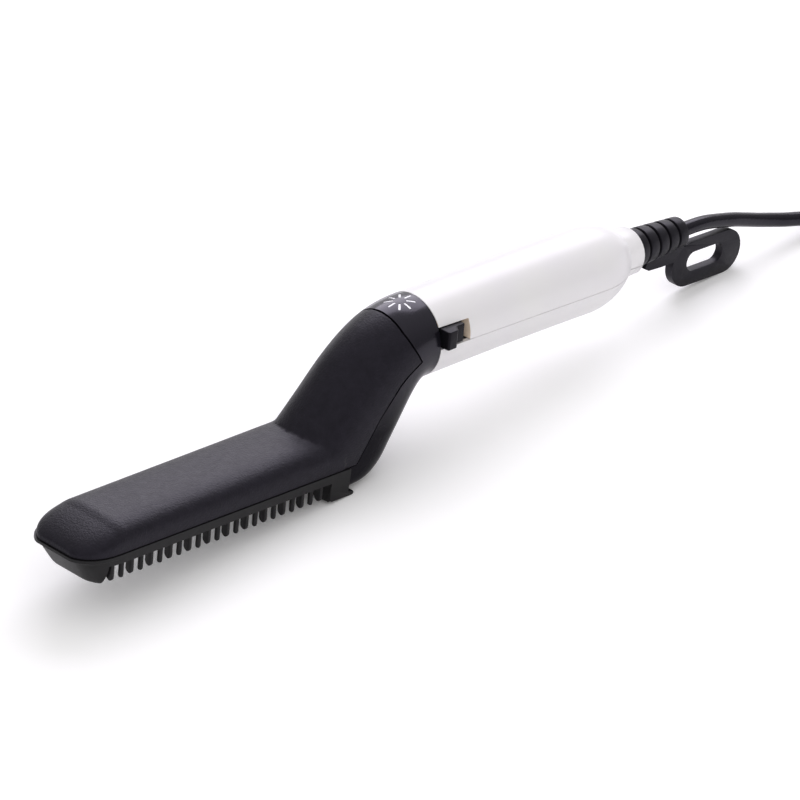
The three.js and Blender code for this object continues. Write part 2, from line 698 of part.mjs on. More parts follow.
const carrierFrontX = noseRearX + carrierMargin;
const carrierRearX = heelFrontX - carrierMargin;
const carrierHalf = innerHalf - carrierMargin;
const carrierBottomZ = carrierTopZ - carrierThickness;
const plateFrontX = carrierFrontX + plateEndMargin;
const plateRearX = carrierRearX - plateEndMargin;
const carrierFlangeZ = carrierTopZ - carrierFlange + gap / 2;
const carrierRoom = solid(loft(headStations.map((x) => headSection(
  x + shellWall + gap, shellWall + gap, carrierThickness + 2))));
const carrierBody = joined(
  block(carrierFrontX, carrierRearX, -carrierHalf, carrierHalf, carrierBottomZ, carrierTopZ),
  block(carrierFrontX, carrierRearX, -headWidth / 2, headWidth / 2, carrierFlangeZ, carrierTopZ),
).intersect(carrierRoom);
const carrierTail = block(carrierRearX - 1, carrierTailX, -carrierTailWidth / 2, carrierTailWidth / 2,
  carrierFlangeZ, carrierTopZ);
const carrierWindow = block(plateFrontX - gap, plateRearX + gap, -plateWidth / 2 - gap, plateWidth / 2 + gap,
  -reach, reach);
const neckScrewPilot = bar([neckScrewX, 0, -reach], [neckScrewX, 0, reach], screwShank + gap, 12);
const neckNut = bar([neckScrewX, 0, carrierTopZ - 0.1], [neckScrewX, 0, carrierTopZ + 4], bossRadius, 16);
const carrier = without(joined(carrierBody, carrierTail, neckNut),
  carrierWindow, neckScrewPilot, ...carrierScrewHoles);
add(tool, 'plate_carrier', geometryOf(carrier), carrierTan);

const plateTopZ = carrierTopZ + gap + plateFlange;
const heaterMiddleX = (plateFrontX + plateRearX - fuseLength - clipRoom) / 2;
const clipHalf = ptcLength / 2 + clipRoom + clipFoot;
const plateScrewX = [-1, 1].map((side) => heaterMiddleX + side * (clipHalf - clipFoot / 2));
const plateHoles = plateScrewX.map((x) => bar(
  [x, 0, plateTopZ - 5], [x, 0, plateTopZ + 1], screwShank + gap, 12));
const plate = without(joined(
  block(plateFrontX, plateRearX, -plateWidth / 2, plateWidth / 2, carrierBottomZ - plateStandOut, plateTopZ),
  block(plateFrontX - 1.6, plateRearX + 1.6, -plateFlangeWidth / 2, plateFlangeWidth / 2,
    carrierTopZ + gap, plateTopZ),
), ...plateHoles);
add(tool, 'heating_plate', geometryOf(plate), aluminium);

const ptcZ = plateTopZ + gap;
const ptc = block(heaterMiddleX - ptcLength / 2, heaterMiddleX + ptcLength / 2, -ptcWidth / 2, ptcWidth / 2,
  ptcZ, ptcZ + ptcThickness);
add(tool, 'ptc_heater', geometryOf(ptc), ceramic);
const filmZ = ptcZ + ptcThickness + gap;
add(tool, 'insulating_film', geometryOf(block(
  heaterMiddleX - ptcLength / 2 - filmMargin, heaterMiddleX + ptcLength / 2 + filmMargin,
  -ptcWidth / 2 - filmMargin, ptcWidth / 2 + filmMargin, filmZ, filmZ + filmThickness)), film);
const clipZ = filmZ + filmThickness + gap;
const clipTop = clipZ + clipThickness;
const clipStart = plateScrewX[0] - clipFoot / 2;
const clipEnd = plateScrewX[1] + clipFoot / 2;
const clipStepFront = clipStart + clipFoot - clipThickness;
const clipStepRear = clipEnd - clipFoot + clipThickness;
const clip = without(prism([
  [clipStart, ptcZ], [clipStart + clipFoot, ptcZ], [clipStart + clipFoot, clipZ],
  [clipEnd - clipFoot, clipZ], [clipEnd - clipFoot, ptcZ], [clipEnd, ptcZ], [clipEnd, ptcZ + clipThickness],
  [clipStepRear, ptcZ + clipThickness], [clipStepRear, clipTop],
  [clipStepFront, clipTop], [clipStepFront, ptcZ + clipThickness],
  [clipStart, ptcZ + clipThickness],
], -clipWidth / 2, clipWidth / 2), ...plateHoles);
add(tool, 'heater_clip', geometryOf(clip), steel);
plateScrewX.forEach((x, i) => {
  add(tool, `heater_clip_screw_${i + 1}`,
    placed(screw(clipScrewLength), [x, 0, ptcZ + clipThickness + gap]), steel);
});

[-1, 1].forEach((side, i) => {
  add(tool, `carrier_screw_${i + 1}`, placed(screw(carrierScrewLength),
    [carrierScrewX, side * carrierScrewY, carrierFlangeZ - gap], Math.PI), steel);
});
add(tool, 'neck_screw', placed(screw(neckScrewLength), [neckScrewX, 0, neckScrewSeat - gap], Math.PI), steel);

const fuseX = plateRearX - fuseLength;
const fuseY = 4;
const fuseZ = ptcZ + fuseDiameter / 2;
const fuse = bar([fuseX, fuseY, fuseZ], [fuseX + fuseLength, fuseY, fuseZ], fuseDiameter / 2, 12);
add(tool, 'thermal_fuse', geometryOf(fuse), aluminium);

// Circuit board and what stands on it

const board = without(
  block(boardFrontX, boardRearX, -boardWidth / 2, boardWidth / 2, boardZ, boardTop),
  bar([lightX, 0, -1], [lightX, 0, boardTop + 1], ledLegHole, 8));
add(tool, 'circuit_board', geometryOf(board), boardGreen);

const ledBase = boardTop + gap;
const ledTop = guideTopZ - guideThickness - gap;
const ledProfile = [
  [0, ledBase], [ledRadius + 0.4, ledBase], [ledRadius + 0.4, ledBase + 1], [ledRadius, ledBase + 1],
  [ledRadius, ledTop - ledRadius], [ledRadius * 0.75, ledTop - ledRadius * 0.4], [0, ledTop],
].map(([r, z]) => new THREE.Vector2(r, z));
const led = new THREE.LatheGeometry(ledProfile, 14);
led.rotateX(Math.PI / 2);
led.translate(lightX, 0, 0);
add(tool, 'led', led, clearWindow);

const switchFrontX = spigotWall + gap;
const switchRearX = switchFrontX + switchWidth;
const switchOuterY = -10.9;
const leverZ = slotHeight / 2 + gap;
const leverX = gap + thumbLength / 2;
const switchBase = boardTop + gap;
const switchBody = without(
  block(switchFrontX, switchRearX, switchOuterY, switchOuterY + switchDepth,
    switchBase, switchBase + switchHeight),
  block(leverX - leverWidth / 2 - slideGap, leverX + leverWidth / 2 + switchTravel + slideGap,
    switchOuterY - 1, switchOuterY + leverReach + slideGap,
    leverZ - leverHeight / 2 - slideGap, leverZ + leverHeight / 2 + slideGap));
add(tool, 'switch_housing', geometryOf(switchBody), satinBlack);

const mainsFuseRearX = boardRearX - mainsFuseSet;
const mainsFuseZ = ledBase + mainsFuseRadius;
const boardParts = [
  ['dropper_capacitor', block(...capacitorX, ...capacitorY, ledBase, ledBase + capacitorHeight), film],
  ['triac', block(...triacX, ...triacY, ledBase, ledBase + triacHeight), satinBlack],
  ['mains_fuse', bar([mainsFuseRearX - mainsFuseLength, mainsFuseY, mainsFuseZ],
    [mainsFuseRearX, mainsFuseY, mainsFuseZ], mainsFuseRadius, 12), ceramic],
];
for (const [name, body, material] of boardParts) add(tool, name, geometryOf(body), material);

// Switch slider: a thumb piece at the collar, stepping down to a thin plate, with a lever
// that reaches into the switch housing.
const sliderFront = gap;
const sliderFace = -handleRadius - sliderPlateStandOut;
const sliderInner = sliderFace + sliderThickness;
const thumbFace = -handleRadius - thumbStandOut;
const sliderOutline = new THREE.Shape([
  [sliderFront, sliderInner], [sliderFront, thumbFace + 0.5], [sliderFront + 0.5, thumbFace],
  [sliderFront + thumbLength - 1.2, thumbFace + 0.2], [sliderFront + thumbLength - 0.4, thumbFace + 0.9],
  [sliderFront + thumbLength + 0.3, sliderFace - 0.6], [sliderFront + thumbLength + 1.4, sliderFace],
  [sliderFront + sliderLength, sliderFace], [sliderFront + sliderLength, sliderInner],
].map(([x, y]) => new THREE.Vector2(x, y)));
const sliderLow = gap / 2 + slideGap;
const sliderHigh = slotHeight - slideGap;
const sliderGeometry = new THREE.ExtrudeGeometry(sliderOutline, {
  depth: sliderHigh - sliderLow, bevelEnabled: false,
});
sliderGeometry.translate(0, 0, sliderLow);
const sliderBevel = solid(new THREE.BoxGeometry(reach, bevelCut, bevelCut))
  .rotate([bevelTilt, 0, 0]).translate([0, thumbFace - bevelShift[0], sliderHigh + bevelShift[1]]);
const sliderLever = block(leverX - leverWidth / 2, leverX + leverWidth / 2, sliderInner - 0.5,
  switchOuterY + leverReach, leverZ - leverHeight / 2, leverZ + leverHeight / 2);
const slider = joined(without(solid(sliderGeometry), sliderBevel), sliderLever);
add(tool, 'switch_slider', geometryOf(slider), satinBlack);

// Strain relief with its hanging loop

const reliefX = handleLength + gap;
const reliefEndX = reliefX + reliefLength;
const loopCentreX = reliefEndX + loopSetBack;
function reliefSection(x, cut) {
  const t = Math.max(0, Math.min(1, (x - reliefX) / reliefLength));
  const radius = reliefRootRadius + (reliefEndRadius - reliefRootRadius) * t - cut;
  const lift = endNeckLift + (reliefEndLift - endNeckLift) * t;
  return ring(new THREE.Vector3(x, 0, lift), new THREE.Vector3(0, radius, 0),
    new THREE.Vector3(0, 0, radius), 2, 18);
}
const ribPitch = (reliefLength + reliefGrooveWidth) / reliefRibs;
const reliefRings = [];
for (let i = 0; i < reliefRibs; i += 1) {
  const start = reliefX + i * ribPitch;
  const end = start + ribPitch - reliefGrooveWidth;
  reliefRings.push(reliefSection(start, 0), reliefSection(end, 0));
  if (i + 1 < reliefRibs) {
    reliefRings.push(reliefSection(end + 0.15, reliefGrooveDepth));
    reliefRings.push(reliefSection(end + reliefGrooveWidth - 0.15, reliefGrooveDepth));
  }
}
const reliefBody = solid(loft(reliefRings));
const reliefFlangeX = shoulderEnd - handleWall - reliefFlangeSet - reliefFlangeWidth;
const reliefShank = joined(
  bar([reliefFlangeX, 0, endNeckLift], [reliefX + 0.5, 0, endNeckLift], reliefShankRadius, 20),
  bar([reliefFlangeX, 0, endNeckLift], [reliefFlangeX + reliefFlangeWidth, 0, endNeckLift],
    reliefFlangeRadius, 20));

function stadium(centreX, centreZ, length, height) {
  const r = height / 2;
  const left = centreX - length / 2 + r;
  const right = centreX + length / 2 - r;
  const shape = new THREE.Shape();
  shape.moveTo(left, centreZ - r);
  shape.lineTo(right, centreZ - r);
  shape.absarc(right, centreZ, r, -Math.PI / 2, Math.PI / 2, false);
  shape.lineTo(left, centreZ + r);
  shape.absarc(left, centreZ, r, Math.PI / 2, Math.PI * 1.5, false);
  return shape;
}
const loopTab = prism(
  stadium(loopCentreX, loopCentreZ, loopLength, loopHeight), -loopThickness / 2, loopThickness / 2);
const loopSlotX = loopCentreX + loopSlotShift[0];
const loopSlotZ = loopCentreZ + loopSlotShift[1];
const loopSlot = prism(stadium(loopSlotX, loopSlotZ, loopSlotLength, loopSlotHeight), -reach, reach);
const loopLeft = loopCentreX - loopLength / 2;
const finX = reliefX + finStart;
const fin = prism([
  [finX + 4, 0], [finX, -finDepth + 1.6], [finX + 2.4, -finDepth + 0.3], [finX + 9, -finDepth],
  [loopLeft + loopHeight / 2, -finDepth], [loopLeft + loopHeight / 2, loopCentreZ + loopHeight / 2 - 0.6],
  [reliefEndX, -reliefEndRadius / 2],
  [reliefEndX - 2, 0],
], -loopThickness / 2, loopThickness / 2);
const relief = without(joined(reliefBody, reliefShank, loopTab, fin), loopSlot);
add(tool, 'strain_relief_with_loop', geometryOf(relief), rubberBlack);

// Lead inside the handle, its clamp, and the wires

const innerStartX = reliefFlangeX - gap;
const leadEndX = clampX - clampWidth / 2 - 3;
const innerLead = tube([
  [innerStartX, 0, endNeckLift], [innerStartX - 5, 0, endNeckLift], [clampX + 5, 0, leadZ],
  [clampX, 0, leadZ], [leadEndX, 0, leadZ],
], cordDiameter / 2, 10, 8);
add(tool, 'inner_lead', innerLead, rubberBlack);

const clampBar = without(
  block(clampX - clampWidth / 2, clampX + clampWidth / 2, -clampSpan / 2, clampSpan / 2,
    clampZ, clampZ + clampThickness),
  ...clampHoles);
add(tool, 'cord_clamp', geometryOf(clampBar), pearlWhite);
[-1, 1].forEach((side, i) => {
  const seat = [clampX, side * clampScrewY, clampZ + clampThickness + gap];
  add(tool, `cord_clamp_screw_${i + 1}`, placed(screw(clampThickness + clampScrewLength - 1), seat), steel);
});

const wireZ = boardTop + gap + wireRadius;
[-1, 1].forEach((side, i) => {
  const wire = tube([
    [leadEndX - gap, side * 1.2, leadZ], [leadEndX - 2.5, side * 1.5, leadZ + 0.2],
    [handleScrews[0][0], side * (bossRadius + 1.6), wireZ],
    [boardRearX + 1, side * 4, wireZ], [boardRearX - 3.5, side * 3, wireZ],
  ], wireRadius, 6, 9);
  add(tool, `mains_wire_${i + 1}`, wire, i === 0 ? wireRed : wireBlue);
});

const heaterWireY = clipWidth / 2 + gap + wireRadius;
const ptcRearX = heaterMiddleX + ptcLength / 2;
const ptcWireZ = ptcZ + ptcThickness / 2;
const wireDown = (side, x, z, y) => tube([
  [boardFrontX + 6, side * 4, wireZ], [boardFrontX - 1, side * 4, wireZ],
  ...wireBends.map(([bendX, bendY, bendZ = z + wireRadius]) => [bendX, side * bendY, bendZ]),
  [x + 4, y, z], [x, y, z],
], wireRadius, 6, 14);
add(tool, 'heater_wire_1', wireDown(-1, ptcRearX + gap, ptcWireZ, -heaterWireY), wireRed);
add(tool, 'heater_wire_2', wireDown(1, fuseX + fuseLength + gap, fuseZ, fuseY), wireBlue);
add(tool, 'fuse_wire', tube([
  [fuseX - gap, fuseY, fuseZ], [fuseX - 2.5, fuseY, fuseZ], [ptcRearX + 6, heaterWireY, ptcWireZ],
  [ptcRearX + gap, heaterWireY, ptcWireZ],
], wireRadius, 6, 7), wireBlue);

// The tool tilts until the heel's rear edge and the loop's round end stand on one floor

const heelCorner = new THREE.Vector2(heelLipX - heelBevel, heelBottomZ);
const loopEnd = new THREE.Vector2(loopCentreX + loopLength / 2 - loopHeight / 2, loopCentreZ);
const span = loopEnd.clone().sub(heelCorner);
tool.rotation.y = Math.atan2(span.y, span.x) - Math.asin(loopHeight / 2 / span.length());
model.updateMatrixWorld(true);
const extent = new THREE.Box3().setFromObject(tool, true);
const middle = extent.getCenter(new THREE.Vector3());
tool.position.set(-middle.x, -middle.y, -extent.min.z);

// The lead on the floor: the free stretch, then the hank with its tie, then the plug on top

const cordRadius = cordDiameter / 2;
const stretchSteps = Math.round(leadRoute.length * 1.2);
add(model, 'power_cord', tube(leadRoute, cordRadius, 8, stretchSteps), rubberBlack);

// The hank lies along X in four layers, which spiral in, out, in and out again. A turn has four
// quarters: a run, a fold, the run back and the other fold. Each climb to the next layer takes
// the run where the spiral reverses, and every run is drawn in at the waist and lies over the tie.
const turnPitch = cordDiameter + hankGap;
const hankStart = new THREE.Vector3(...leadRoute[leadRoute.length - 1]).add(new THREE.Vector3(gap, 0, 0));
const halfQuarter = 1 / 8;
const hankMiddle = hankStart.clone().add(new THREE.Vector3(
  cordDiameter + hankRun / 2, hankFoldRadius + turnPitch * (hankTurnsAcross + halfQuarter), 0));
const waistLift = tieFoot + tieThickness + tieRoom + cordRadius - hankStart.z;

function hankPoint(turns) {
  const reverse = hankTurnsAcross * (turns < 2 * hankTurnsAcross ? 1 : 3);
  const out = turnPitch * Math.abs(turns - reverse);
  const layers = [1, 2, 3].reduce((sum, k) => sum + THREE.MathUtils.smoothstep(
    turns, k * hankTurnsAcross - halfQuarter, k * hankTurnsAcross + halfQuarter), 0);
  const place = 4 * ((turns + 1 + halfQuarter) % 1);
  const quarter = Math.floor(place);
  const side = quarter < 2 ? -1 : 1;
  if (quarter % 2 === 1) {
    const angle = side * Math.PI / 2 + Math.PI * (place - quarter);
    const radius = hankFoldRadius + out;
    return new THREE.Vector3(-side * hankRun / 2 + radius * Math.cos(angle), radius * Math.sin(angle),
      turnPitch * layers).add(hankMiddle);
  }
  const along = (place - quarter - 0.5) * hankRun;
  const bendLength = (hankRun - hankWaistLength) / 2;
  const bend = Math.PI * Math.max(0, Math.abs(along) - hankWaistLength / 2) / bendLength;
  const drawnIn = (1 + Math.cos(bend)) / 2;
  const inset = hankFoldRadius - hankWaistHalf;
  const slope = inset / 2 * Math.PI / bendLength * Math.sin(bend);
  const half = hankFoldRadius - inset * drawnIn + out * Math.hypot(1, slope);
  return new THREE.Vector3(-side * along, side * half, turnPitch * layers + waistLift * drawnIn)
    .add(hankMiddle);
}

const hankPoints = [hankStart.clone()];
const hankStepCount = Math.round((hankTurns + halfQuarter) * hankSteps);
for (let i = 0; i <= hankStepCount; i += 1) {
  hankPoints.push(hankPoint(i / hankStepCount * (hankTurns + halfQuarter) - halfQuarter));
}
for (const point of hankTail) hankPoints.push(new THREE.Vector3(...point).add(hankMiddle));
const plugZ = plugThickness / 2;
const plugRise = 3 * turnPitch + cordRadius + plugRoom + plugZ;
const plugStart = new THREE.Vector3(...plugFromHank, plugRise).add(hankMiddle);
hankPoints.push(plugStart.clone().sub(new THREE.Vector3(cordDiameter, 0, 0)), plugStart.clone());

// A tube through the points as they are, each ring square to the way along at its point.
function tubeThrough(points, radius, sides) {
  const up = new THREE.Vector3(0, 0, 1);
  return loft(points.map((point, i) => {
    const from = points[Math.max(0, i - 1)];
    const to = points[Math.min(points.length - 1, i + 1)];
    const side = to.clone().sub(from).cross(up).normalize();
    const rise = side.clone().cross(to.clone().sub(from)).normalize();
    return ring(point, side.multiplyScalar(radius), rise.multiplyScalar(radius), 2, sides);
  }));
}
add(model, 'cord_hank', tubeThrough(hankPoints, cordRadius, 6), rubberBlack);

// Least gap between the hank's turns, from each point to every stretch of the other turns.
let leastGap = Infinity;
const near = new THREE.Vector3();
for (let i = 0; i < hankPoints.length; i += 1) {
  for (let j = 0; j + 1 < hankPoints.length; j += 1) {
    if (Math.abs(i - j) < hankSteps / 3) continue;
    new THREE.Line3(hankPoints[j], hankPoints[j + 1]).closestPointToPoint(hankPoints[i], true, near);
    leastGap = Math.min(leastGap, near.distanceTo(hankPoints[i]) - cordDiameter);
  }
}
console.log(`least gap of the hank to itself: ${leastGap.toFixed(2)} mm`);

// The tie is a band round the waist's outermost turns: a taut line at a distance from them all.
const tieTurns = [0, 0.5, 2 * hankTurnsAcross + 2.5, 2 * hankTurnsAcross + 2, 2 * hankTurnsAcross];
const tieCorners = tieTurns.map((turns) => hankPoint(turns)).map((p) => new THREE.Vector2(p.y, p.z));

function tautLine(radius) {
  const turnSteps = 5;
  return tieCorners.flatMap((corner, i) => {
    const before = tieCorners[(i + tieCorners.length - 1) % tieCorners.length];
    const after = tieCorners[(i + 1) % tieCorners.length];
    const from = corner.clone().sub(before).angle() - Math.PI / 2;
    const turn = (after.clone().sub(corner).angle() - Math.PI / 2 - from + 4 * Math.PI) % (2 * Math.PI);
    return Array.from({ length: turnSteps + 1 }, (_, k) => {
      const angle = from + turn * k / turnSteps;
      return new THREE.Vector2(corner.x + radius * Math.cos(angle), corner.y + radius * Math.sin(angle));
    });
  });
}
const tieShape = new THREE.Shape(tautLine(cordRadius + tieRoom + tieThickness));
tieShape.holes.push(new THREE.Path(tautLine(cordRadius + tieRoom)));
const tie = new THREE.ExtrudeGeometry(tieShape, { depth: tieWidth, bevelEnabled: false });
tie.applyMatrix4(new THREE.Matrix4().makeBasis(
  new THREE.Vector3(0, 1, 0), new THREE.Vector3(0, 0, 1), new THREE.Vector3(1, 0, 0)));
tie.translate(hankMiddle.x - tieWidth / 2, 0, 0);
add(model, 'cord_tie', tie, satinBlack);

// Plug: a flat two-pin plug lying on its side, in a group with +X out of its face

const plug = new THREE.Group();
model.add(plug);
plug.position.copy(plugStart).add(new THREE.Vector3(gap, 0, 0));
// Along the plug: distance, half width, half thickness, squareness.
const plugSections = [
  [0, plugGuardRadius, plugGuardRadius, 2], [11, plugGuardRadius + 0.8, plugGuardRadius + 0.8, 2],
  [14, 7, plugZ - 0.6, 2.3], [20, 14, plugZ, 3], [25, 17.2, plugZ, 3.4], [34, 17.6, plugZ, 3.6],
  [36, 16.9, plugZ - 0.7, 3.6],
];
const plugLength = plugSections[plugSections.length - 1][0];
const plugSkin = solid(loft(plugSections.map(([x, halfWidth, halfHeight, power]) => ring(
  new THREE.Vector3(x, 0, 0), new THREE.Vector3(0, halfWidth, 0), new THREE.Vector3(0, 0, halfHeight),
  power, 24))));
const pinRadius = pinDiameterPlug / 2;
const pinHoles = [-1, 1].map((side) => bar(
  [plugLength - pinSeat - gap, side * pinSpacing / 2, 0], [plugLength + 1, side * pinSpacing / 2, 0],
  pinRadius + gap, 12));
add(plug, 'plug_body', geometryOf(without(plugSkin, ...pinHoles)), satinBlack);
[-1, 1].forEach((side, i) => {
  const y = side * pinSpacing / 2;
  const tipX = plugLength + pinLength;
  const pin = joined(
    bar([plugLength - pinSeat, y, 0], [tipX - 1, y, 0], pinRadius, 12),
    bar([tipX - 1.01, y, 0], [tipX, y, 0], pinRadius, 12, pinRadius * 0.55));
  add(plug, `plug_pin_${i + 1}`, geometryOf(pin), brass);
});

export default model;
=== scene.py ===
"""Looks of the electric hair comb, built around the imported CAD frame. Shapes are in millimetres in the
tool's own frame (the handle's axis is X, the collar's rear plane is x = 0) and are placed in metres."""
import json
import math

import bmesh
import bpy
import numpy as np
from mathutils import Matrix, Vector
from mathutils.bvhtree import BVHTree


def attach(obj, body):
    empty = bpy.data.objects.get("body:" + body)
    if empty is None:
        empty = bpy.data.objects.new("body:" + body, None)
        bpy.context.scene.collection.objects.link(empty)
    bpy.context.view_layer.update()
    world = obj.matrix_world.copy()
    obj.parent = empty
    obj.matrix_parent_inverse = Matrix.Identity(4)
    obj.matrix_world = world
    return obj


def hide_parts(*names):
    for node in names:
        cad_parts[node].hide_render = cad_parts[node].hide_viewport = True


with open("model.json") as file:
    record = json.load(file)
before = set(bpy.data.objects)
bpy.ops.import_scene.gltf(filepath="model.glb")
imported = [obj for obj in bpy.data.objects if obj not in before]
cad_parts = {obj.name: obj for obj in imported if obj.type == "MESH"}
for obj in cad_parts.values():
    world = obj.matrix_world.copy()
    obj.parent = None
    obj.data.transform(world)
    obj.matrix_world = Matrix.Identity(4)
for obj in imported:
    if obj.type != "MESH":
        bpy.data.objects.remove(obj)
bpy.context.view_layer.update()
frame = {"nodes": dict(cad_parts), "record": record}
nodes = frame["nodes"]

MM = 0.001
TILT = 0.1164014                  # of the handle's axis, as the tool lies on the floor
COLLAR_PLACE = Vector((-3.07719, 0.95, 39.06191))
TOOL = Matrix.Translation(COLLAR_PLACE * MM) @ Matrix.Rotation(TILT, 4, "Y") @ Matrix.Scale(MM, 4)
ROW = Matrix.Scale(MM, 4)

# Camera
AZIMUTH = math.radians(-44.941)
ELEVATION = math.radians(30.74)
DISTANCE = 1.72125
FOCAL_PIXELS = 4933.8
IMAGE_WIDTH = 800
SENSOR_WIDTH = 36
TARGET = Vector((-0.007954, 0.00095, 0.014484))

back = Vector((math.sin(AZIMUTH) * math.cos(ELEVATION), -math.cos(AZIMUTH) * math.cos(ELEVATION),
               math.sin(ELEVATION)))
camera = bpy.data.objects.new("camera", bpy.data.cameras.new("camera"))
bpy.context.scene.collection.objects.link(camera)
camera.data.sensor_width = SENSOR_WIDTH
camera.data.lens = SENSOR_WIDTH * FOCAL_PIXELS / IMAGE_WIDTH
camera.location = TARGET + back * DISTANCE
camera.rotation_mode = "QUATERNION"
camera.rotation_quaternion = (-back).to_track_quat("-Z", "Y")
camera.data.clip_start, camera.data.clip_end = 0.05, 50
bpy.context.scene.camera = camera


# Mesh helpers
def mesh_from(name, verts, faces):
    mesh = bpy.data.meshes.new(name)
    mesh.from_pydata([tuple(map(float, v)) for v in verts], [], faces)
    bm = bmesh.new()
    bm.from_mesh(mesh)
    bmesh.ops.remove_doubles(bm, verts=bm.verts, dist=1e-5)
    bmesh.ops.recalc_face_normals(bm, faces=bm.faces)
    bm.to_mesh(mesh)
    bm.free()
    obj = bpy.data.objects.new(name, mesh)
    bpy.context.scene.collection.objects.link(obj)
    return obj


def loft(rings, name="part"):
    """A closed skin through rings of equally many points, with a fan on each end."""
    count = len(rings[0])
    verts = [p for r in rings for p in r]
    faces = []
    for i in range(len(rings) - 1):
        for k in range(count):
            a, b = i * count + k, i * count + (k + 1) % count
            faces.append((a, b, b + count, a + count))
    for end in (0, len(rings) - 1):
        verts.append(np.mean(np.array(rings[end], float), axis=0))
        for k in range(count):
            faces.append((len(verts) - 1, end * count + k, end * count + (k + 1) % count))
    return mesh_from(name, verts, faces)


def bulged(value, share):
    """A sine or cosine raised to a power, its sign kept, which squares an oval's corners."""
    return np.sign(value) * np.abs(value) ** share


def ring(centre, u, v, power=2.0, count=64, power_below=None):
    """An oval about centre, spanned by u and v. Above 2, its power makes it squarer."""
    angle = np.arange(count) / count * 2 * math.pi
    share = np.where(angle > math.pi, 2 / (power_below or power), 2 / power)
    return (np.array(centre, float)[None] + bulged(np.cos(angle), share)[:, None] * np.array(u, float)[None]
            + bulged(np.sin(angle), share)[:, None] * np.array(v, float)[None])


def prism(outline, low, high, name="prism"):
    """An outline in x and z pushed through from y = low to y = high."""
    n = len(outline)
    verts = [(x, low, z) for x, z in outline] + [(x, high, z) for x, z in outline]
    faces = [tuple(range(n)), tuple(range(2 * n - 1, n - 1, -1))]
    faces += [(k, (k + 1) % n, n + (k + 1) % n, n + k) for k in range(n)]
    return mesh_from(name, verts, faces)


def block(x0, x1, y0, y1, z0, z1):
    return prism([(x0, z0), (x1, z0), (x1, z1), (x0, z1)], y0, y1, "block")


def lathe(profile, count, start, along):
    """A profile of (radius, distance) turned about a line."""
    turn = Vector((0, 0, 1)).rotation_difference(Vector(along).normalized()).to_matrix()
    rings = []
    for r, h in profile:
        r = max(r, 1e-3)
        rings.append([Vector(start) + turn @ Vector((r * math.cos(a), r * math.sin(a), h))
                      for a in np.arange(count) / count * 2 * math.pi])
    return loft(rings, "lathe")


def bar(start, end, radius, count):
    along = Vector(end) - Vector(start)
    return lathe([(radius, 0), (radius, along.length)], count, start, along)


def apply(obj):
    """Bake the object's modifiers into its mesh."""
    bpy.context.view_layer.update()
    graph = bpy.context.evaluated_depsgraph_get()
    mesh = bpy.data.meshes.new_from_object(obj.evaluated_get(graph))
    obj.modifiers.clear()
    obj.data = mesh
    return obj


def combine(obj, others, operation):
    for other in others:
        modifier = obj.modifiers.new("cut", "BOOLEAN")
        modifier.operation = operation
        modifier.object = other
        modifier.solver = "MANIFOLD"
        apply(obj)
    for other in others:
        bpy.data.objects.remove(other)
    return obj


def joined(obj, *others):
    return combine(obj, others, "UNION")


def without(obj, *others):
    return combine(obj, others, "DIFFERENCE")


def within(obj, other):
    return combine(obj, [other], "INTERSECT")


def copy_of(obj):
    other = obj.copy()
    other.data = obj.data.copy()
    bpy.context.scene.collection.objects.link(other)
    return other


def bevel(obj, width, segments=2, angle=30):
    modifier = obj.modifiers.new("bevel", "BEVEL")
    modifier.width = width
    modifier.segments = segments
    modifier.limit_method = "ANGLE"
    modifier.angle_limit = math.radians(angle)
    modifier.harden_normals = False
    return apply(obj)


def smooth(obj, angle=35):
    for polygon in obj.data.polygons:
        polygon.use_smooth = True
    obj.data.set_sharp_from_angle(angle=math.radians(angle))


def finished(obj, name, material, stands_for, body="tool", matrix=TOOL, angle=35):
    """Name a piece, place it in the row frame, smooth it and give it its material and its body."""
    obj.name = name
    obj.data.name = name
    obj.data.transform(matrix)
    smooth(obj, angle)
    if not any(obj.data.materials):
        obj.data.materials.clear()
        obj.data.materials.append(material)
        for polygon in obj.data.polygons:
            polygon.material_index = 0
    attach(obj, body)
    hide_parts(*stands_for)
    return obj


def spline_through(values, count):
    """Catmull-Rom through rows of values, evenly spaced from row to row."""
    values = np.array(values, float)
    n = len(values)
    out = []
    for t in np.linspace(0, n - 1, count):
        i = min(int(t), n - 2)
        f = t - i
        p1, p2 = values[i], values[i + 1]
        p0 = values[i - 1] if i > 0 else 2 * p1 - p2
        p3 = values[i + 2] if i + 2 < n else 2 * p2 - p1
        out.append(0.5 * (2 * p1 + (p2 - p0) * f + (2 * p0 - 5 * p1 + 4 * p2 - p3) * f ** 2
                          + (3 * p1 - p0 - 3 * p2 + p3) * f ** 3))
    return np.array(out)


# Node helpers
def calculated(tree, operation, *values):
    """The result of a math node on sockets and numbers."""
    node = tree.nodes.new("ShaderNodeMath")
    node.operation = operation
    for socket, value in zip(node.inputs, values):
        if isinstance(value, (int, float)):
            socket.default_value = value
        else:
            tree.links.new(value, socket)
    return node.outputs["Value"]


def spread(tree, value, low, high, to_low=0.0, to_high=1.0):
    """A socket's value, held between low and high and mapped onto a second span."""
    node = tree.nodes.new("ShaderNodeMapRange")
    for name, number in (("From Min", low), ("From Max", high), ("To Min", to_low), ("To Max", to_high)):
        node.inputs[name].default_value = number
    tree.links.new(value, node.inputs["Value"])
    return node.outputs["Result"]


